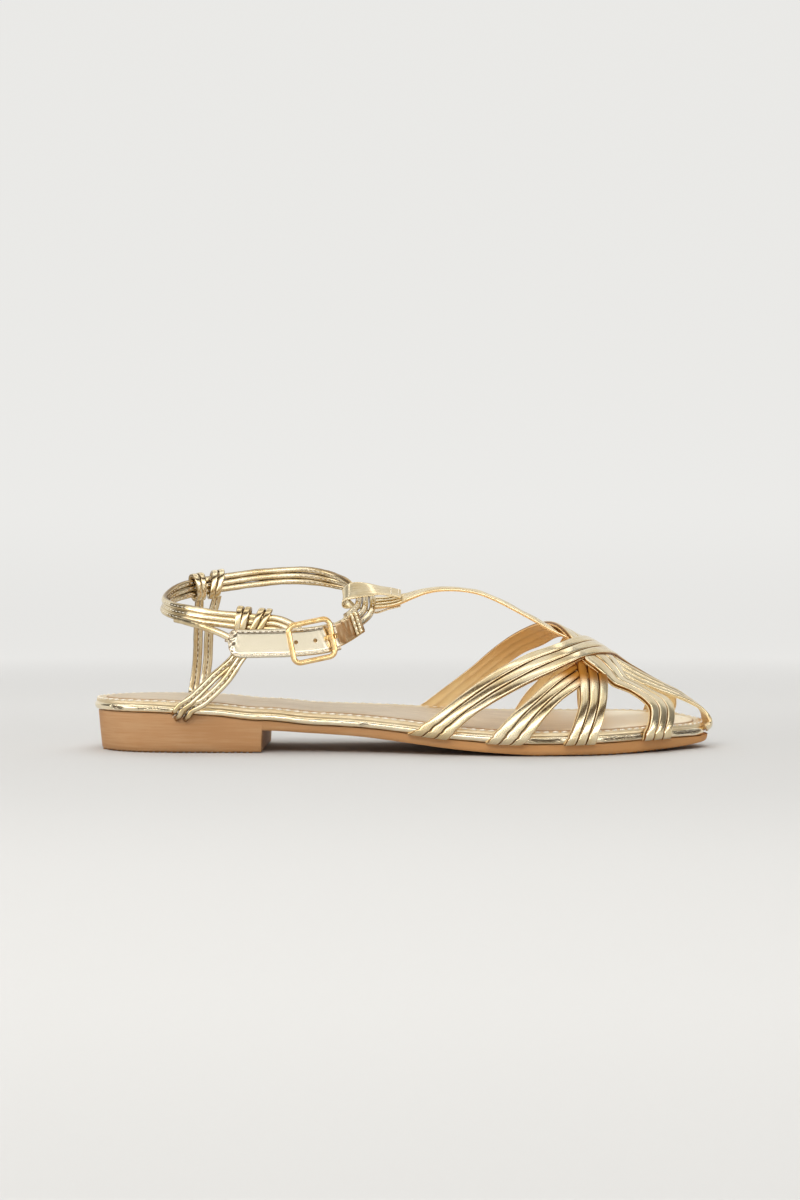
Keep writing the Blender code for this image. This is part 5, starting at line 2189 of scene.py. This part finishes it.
@dataclass
class Billet:
    """Short strap behind the buckle, folded over the front ends of the cord."""

    gold: Material
    rows: Table = (
        (-31.5, -29.7, 45.2), (-27, -27.8, 46.4), (-23.4, -25.2, 48.2), (-20.6, -22.9, 50),
        (-18, -20.6, 51.7),
    )
    width: float = 9.6
    wall: float = 1.5
    # share of the way along at which each fold of the cap crosses it
    fold_places: tuple[float, ...] = (0.78, 0.90)
    fold_lean: float = 22.0
    # how far a fold reaches past the strap's edges
    fold_over: float = 0.9

    def build(self) -> None:
        """Make the strap and the two folds of its cap."""
        path = even(spline(self.rows, 60), 0.5)
        wides = np.tile((0.0, 0.0, 1.0), (len(path), 1))
        along = run_length(path)[:, None]
        c, s = circle(36)
        a = self.width / 2 * bent(c, 0.25) + 0.0 * along
        crinkle = 0.16 * ripple(along + 0.4 * a, 2.1, 5) * ripple(0.6 * along - a, 3.4, 8)
        b = self.wall / 2 * bent(s, 0.5) + crinkle
        draft = Draft()
        edge = np.exp(-(((np.abs(a) - self.width / 2) / 0.9) ** 2))
        dark = np.clip(0.97 + 0.3 * ripple(along + 0.5 * a, 3.0, 15) - 0.8 * edge, 0, 1)
        draft.skin(path, wides, a, b, depth=dark)
        draft.finish("billet_leather", self.gold, "buckle_billet")
        self.folds(path, wides)

    def folds(self, path: Array, wides: Array) -> None:
        """Make the folds of its cap.

        Args:
            path: the strap's middle.
            wides: direction of its width at each place.
        """
        draft = Draft()
        tangents = headings(path)
        outs = unit(np.cross(tangents, wides))
        lean = math.radians(self.fold_lean)
        half = self.width / 2 + self.fold_over
        share = np.linspace(-1, 1, 60)
        knob = 1 + 0.25 * np.exp(-(((share + 0.95) / 0.12) ** 2))
        ends = np.sqrt(np.clip(1 - np.abs(share) ** 14, 0.02, 1))
        c, s = circle(16)
        for number, place in enumerate(self.fold_places):
            k = int(place * (len(path) - 1))
            up = np.array((0.0, 0.0, 1.0)) * math.cos(lean) - tangents[k] * math.sin(lean)
            line = path[k] + up * (half * share + 1.0)[:, None] + outs[k] * (self.wall / 2 + 0.25)
            size = (knob * ends)[:, None] * (1 + 0.05 * ripple(share[:, None] * half, 2.0, 30 + number))
            draft.skin(line, np.tile(tangents[k], (60, 1)), 0.85 * c * size, 0.62 * s * size)
        draft.finish("billet_cap", self.gold)


@dataclass
class Buckle:
    """Rounded rectangle of wire with the knuckle of its prong."""

    brass: Material
    width: float = 16.4
    height: float = 14.8
    corner: float = 2.6
    wire: float = 1.05
    centre: Row = (-36.4, -35.4, 44.2)
    yaw: float = 12.0
    tilt: float = 11.5
    knuckle_wall: float = 0.8
    knuckle_width: float = 2.0
    # degrees round the bar at which the knuckle starts, and how far it goes round
    knuckle_start: float = -70.0
    knuckle_turn: float = 320.0

    def turned(self, points: Array) -> Array:
        """Points of the flat buckle put in their place."""
        yaw = Matrix.Rotation(math.radians(self.yaw), 3, "Z")
        tilt = Matrix.Rotation(math.radians(-self.tilt), 3, "Y")
        return points @ np.array(yaw @ tilt).T

    def frame(self) -> None:
        """Make the frame."""
        w, h, r = self.width / 2, self.height / 2, self.corner
        spots = []
        corners = ((w - r, h - r), (r - w, h - r), (r - w, r - h), (w - r, r - h))
        for quarter, (cx, cz) in enumerate(corners):
            for degrees in np.linspace(90 * quarter, 90 * quarter + 90, 13):
                turn = math.radians(degrees)
                spots.append((cx + r * math.cos(turn), 0.0, cz + r * math.sin(turn)))
        spots = even(np.vstack((spots, spots[:1])), 0.4)[:-1]
        path = self.turned(spots) + self.centre
        c, s = circle(20)
        wides = np.tile(self.turned(np.array((0.0, 1.0, 0.0))), (len(path), 1))
        draft = Draft()
        draft.skin(path, wides, self.wire * bent(c, 0.8), self.wire * bent(s, 0.8), closed=True)
        draft.finish("buckle_wire", self.brass, "buckle_frame", slot="buckle_brass")

    def knuckle(self) -> None:
        """Make the prong's curl round the front bar."""
        radius = self.wire + FORM.gap + self.knuckle_wall / 2
        angle = np.radians(self.knuckle_start + self.knuckle_turn * np.linspace(0, 1, 40))
        curl = np.column_stack((np.cos(angle), np.sin(angle), np.zeros(40))) * radius
        path = self.turned(curl + (self.width / 2, 0.0, 0.0)) + self.centre
        c, s = circle(20)
        a = self.knuckle_width / 2 * bent(c, 0.4)
        b = self.knuckle_wall / 2 * bent(s, 0.5)
        wides = np.tile(self.turned(np.array((0.0, 0.0, 1.0))), (40, 1))
        draft = Draft()
        draft.skin(path, wides, a, b)
        draft.finish("prong_knuckle", self.brass, "buckle_prong", slot="buckle_brass")

    def build(self) -> None:
        """Make the frame and the knuckle."""
        self.frame()
        self.knuckle()


# --- studio ---
@dataclass(frozen=True)
class Softbox:
    """One soft light: where it hangs and points, size in metres, power, colour, and whether gold shows it."""

    name: str
    place: Row
    aim: Row
    size: tuple[float, float]
    power: float
    colour: Colour = (1.0, 1.0, 1.0)
    glossy: bool = False


@dataclass(frozen=True)
class Card:
    """One card round the front: its lower and upper edge in degrees over the floor, and its light."""

    name: str
    low: float
    high: float
    colour: Colour


@dataclass
class Studio:
    """Pale paper sweep, soft lights and the camera."""

    paper: Material
    lens: float = 47.76
    camera: Row = (-0.00235, -0.650, 0.060)
    lights: tuple[Softbox, ...] = (
        Softbox("front", (-0.30, -1.05, 1.0), (0.0, 0.0, 0.0), (1.6, 0.8), 15.5, (1.0, 0.985, 0.96)),
        Softbox("overhead", (0.1, 0.1, 1.5), (0.0, 0.0, 0.0), (1.4, 0.9), 5.0),
        Softbox("rear", (0.3, 0.9, 1.2), (0.0, 0.0, 0.0), (1.6, 0.5), 4.6),
        Softbox("side", (-1.2, -0.3, 0.55), (0.0, 0.0, 0.05), (0.5, 0.9), 1.7, glossy=True),
    )
    cards: tuple[Card, ...] = (
        Card("low_wall", -4.0, 3.4, (1.14, 1.12, 1.08)),
        Card("window", 3.6, 9.6, (4.6, 4.5, 4.35)),
        Card("front_wall", 9.8, 18.5, (1.16, 1.14, 1.10)),
        Card("dark_beam", 19.0, 33.0, (0.08, 0.048, 0.024)),
        Card("low_ceiling", 33.5, 48.5, (0.90, 0.88, 0.84)),
        Card("bright_line", 49.0, 56.0, (2.3, 2.25, 2.15)),
        Card("high_ceiling", 56.5, 84.0, (0.84, 0.82, 0.78)),
        Card("roof", 84.5, 117.0, (0.74, 0.72, 0.68)),
        Card("back_line", 117.5, 124.0, (2.0, 1.96, 1.9)),
    )
    card_reach: float = 2.2
    # the paper in metres: y of its flat part, y and radius of its bend, its top and half its width
    paper_floor: Row = (-4.0, -1.5, -0.6, 0.3)
    paper_bend: float = 1.0
    paper_radius: float = 1.1
    paper_top: float = 4.0
    paper_half: float = 5.0
    # how bright the room is low down and high up, and what the camera sees of it
    world_low: float = 0.08
    world_high: float = 0.5
    world_view: float = 0.80

    def sweep(self) -> None:
        """Lay the paper: flat in front, curved up far behind."""
        bend = np.radians(np.linspace(0, 90, 24))
        start, radius = self.paper_bend, self.paper_radius
        y = np.concatenate((self.paper_floor, start + radius * np.sin(bend), (start + radius,)))
        z = np.concatenate((np.zeros(len(self.paper_floor)), radius * (1 - np.cos(bend)), (self.paper_top,)))
        mesh = bpy.data.meshes.new("paper_sweep")
        sides = (-self.paper_half, self.paper_half)
        points = [(x, b, c) for x in sides for b, c in zip(y.tolist(), z.tolist())]
        n = len(y)
        mesh.from_pydata(points, [], [(i, n + i, n + i + 1, i + 1) for i in range(n - 1)])
        mesh.shade_smooth()
        mesh.materials.append(self.paper)
        placed("paper_sweep", mesh)

    def card(self, card: Card) -> None:
        """Stand one card in front, which only shows in the gold's reflections.

        Args:
            card: its place and its light.
        """
        around = np.radians(np.linspace(-172, -8, 42))
        rings = []
        for degrees in (card.low, card.high):
            turn = math.radians(degrees)
            ring = np.column_stack((np.cos(around) * math.cos(turn), np.sin(around) * math.cos(turn)))
            rings.append(np.column_stack((ring, np.full(42, math.sin(turn)))) * self.card_reach)
        mesh = bpy.data.meshes.new(card.name)
        faces = [(i, i + 1, 43 + i, 42 + i) for i in range(41)]
        mesh.from_pydata(np.vstack(rings).tolist(), [], faces)
        look = {"Base_Color": (0.0, 0.0, 0.0), "Emission_Color": card.colour}
        mesh.materials.append(Graph(card.name, **look, Emission_Strength=1.0, Roughness=1.0).material)
        made = placed(card.name, mesh)
        made.visible_camera = made.visible_shadow = made.visible_diffuse = False

    def hang(self, box: Softbox) -> None:
        """Hang one light.

        Args:
            box: the light.
        """
        lamp = bpy.data.lights.new(box.name, "AREA")
        lamp.shape = "RECTANGLE"
        lamp.size, lamp.size_y = box.size
        lamp.energy = box.power
        lamp.color = box.colour
        made = placed(box.name, lamp)
        made.location = box.place
        made.rotation_euler = (Vector(box.aim) - Vector(box.place)).to_track_quat("-Z", "Y").to_euler()
        made.visible_camera = False
        made.visible_glossy = box.glossy

    def surround(self) -> None:
        """Dim the room for everything but the view itself."""
        world = bpy.data.worlds.new("room")
        world.use_nodes = True
        tree = Tree(world.node_tree)
        seen = tree.node("ShaderNodeLightPath").outputs["Is Camera Ray"]
        spot = tree.node("ShaderNodeTexCoord").outputs["Generated"]
        height = tree.node("ShaderNodeSeparateXYZ", Vector=spot).outputs["Z"]
        climb = tree.node(
            "ShaderNodeMapRange", Value=height, From_Min=0.05, From_Max=0.9,
            To_Min=self.world_low, To_Max=self.world_high,
        ).outputs["Result"]
        shade = tree.node("ShaderNodeMix", Factor_Float=seen, A_Float=climb, B_Float=self.world_view)
        light = tree.node("ShaderNodeBackground", Color=shade.outputs["Result"])
        tree.node("ShaderNodeOutputWorld", Surface=light.outputs["Background"])
        bpy.context.scene.world = world

    def aim(self) -> None:
        """Set up the camera, level and square to the shoe's outer side."""
        data = bpy.data.cameras.new("camera")
        data.lens = self.lens
        data.sensor_width = 36.0
        data.sensor_fit = "AUTO"
        made = placed("camera", data)
        made.location = self.camera
        made.rotation_euler = (math.pi / 2, 0.0, 0.0)
        bpy.context.scene.camera = made

    def build(self) -> None:
        """Make the whole studio."""
        self.sweep()
        for card in self.cards:
            self.card(card)
        for box in self.lights:
            self.hang(box)
        self.surround()
        self.aim()
        bpy.context.scene.view_settings.view_transform = "Standard"


def main() -> None:
    """Build every sub-assembly and dress it."""
    logging.basicConfig(level=logging.INFO, format="%(name)s: %(message)s")
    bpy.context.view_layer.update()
    gold = MirrorLeather("gold_mirror", lining_reflection=(0.45, 0.18, 0.022)).build()
    smooth = MirrorLeather(
        "gold_smooth", light=(0.735, 0.67, 0.525), deep=(0.705, 0.64, 0.49), gloss=0.09, spread=0.04,
        crinkle=0.000004, streak=0.000003, pucker=12.0,
    ).build()
    cord = MirrorLeather(
        "gold_cord", light=(0.91, 0.79, 0.55), deep=(0.62, 0.455, 0.22), crease=(0.17, 0.085, 0.025),
        gloss=0.07, spread=0.07, crinkle=0.00003,
    ).build()
    # lighter copy of the gold for the rim bead: painted highlight; its near-black crease colour paints shade
    # in the creases
    bead = MirrorLeather(
        "gold_bead_highlit", light=(0.98, 0.88, 0.67), deep=(0.86, 0.71, 0.44), crease=(0.06, 0.034, 0.014),
        crinkle=0.00003, gloss=0.08, spread=0.07,
    ).build()
    beige = MirrorLeather(
        "gold_beige", light=(0.86, 0.73, 0.50), deep=(0.74, 0.58, 0.35), gloss=0.30, spread=0.14,
    ).build()
    ochre = OchreLining("ochre_leather").build()
    thread = SewingThread("pale_thread").build()
    sandal = (
        Outsole(MouldedSole("tan_rubber").build()),
        RimBinding(bead, beige, thread),
        Sock(SockLeather("champagne_leather").build()),
        Vamp(gold, ochre),
        CentreStrap(gold, ochre, thread),
        AnkleCord(cord, thread),
        HeelStraps(Side.OUTER, "heel_strap_outer", OUTER_STRIPS, cord, thread),
        HeelStraps(Side.INNER, "heel_strap_inner", INNER_STRIPS, cord, thread, face_shade=(0.2, 0.0)),
        BuckleStrap(smooth, ochre, thread),
        Billet(MirrorLeather("gold_crinkled").build()),
        Buckle(CastBrass("yellow_brass").build()),
        Studio(PaperSweep("studio_paper").build()),
    )
    for assembly in sandal:
        assembly.build()


if __name__ == "__main__":
    main()
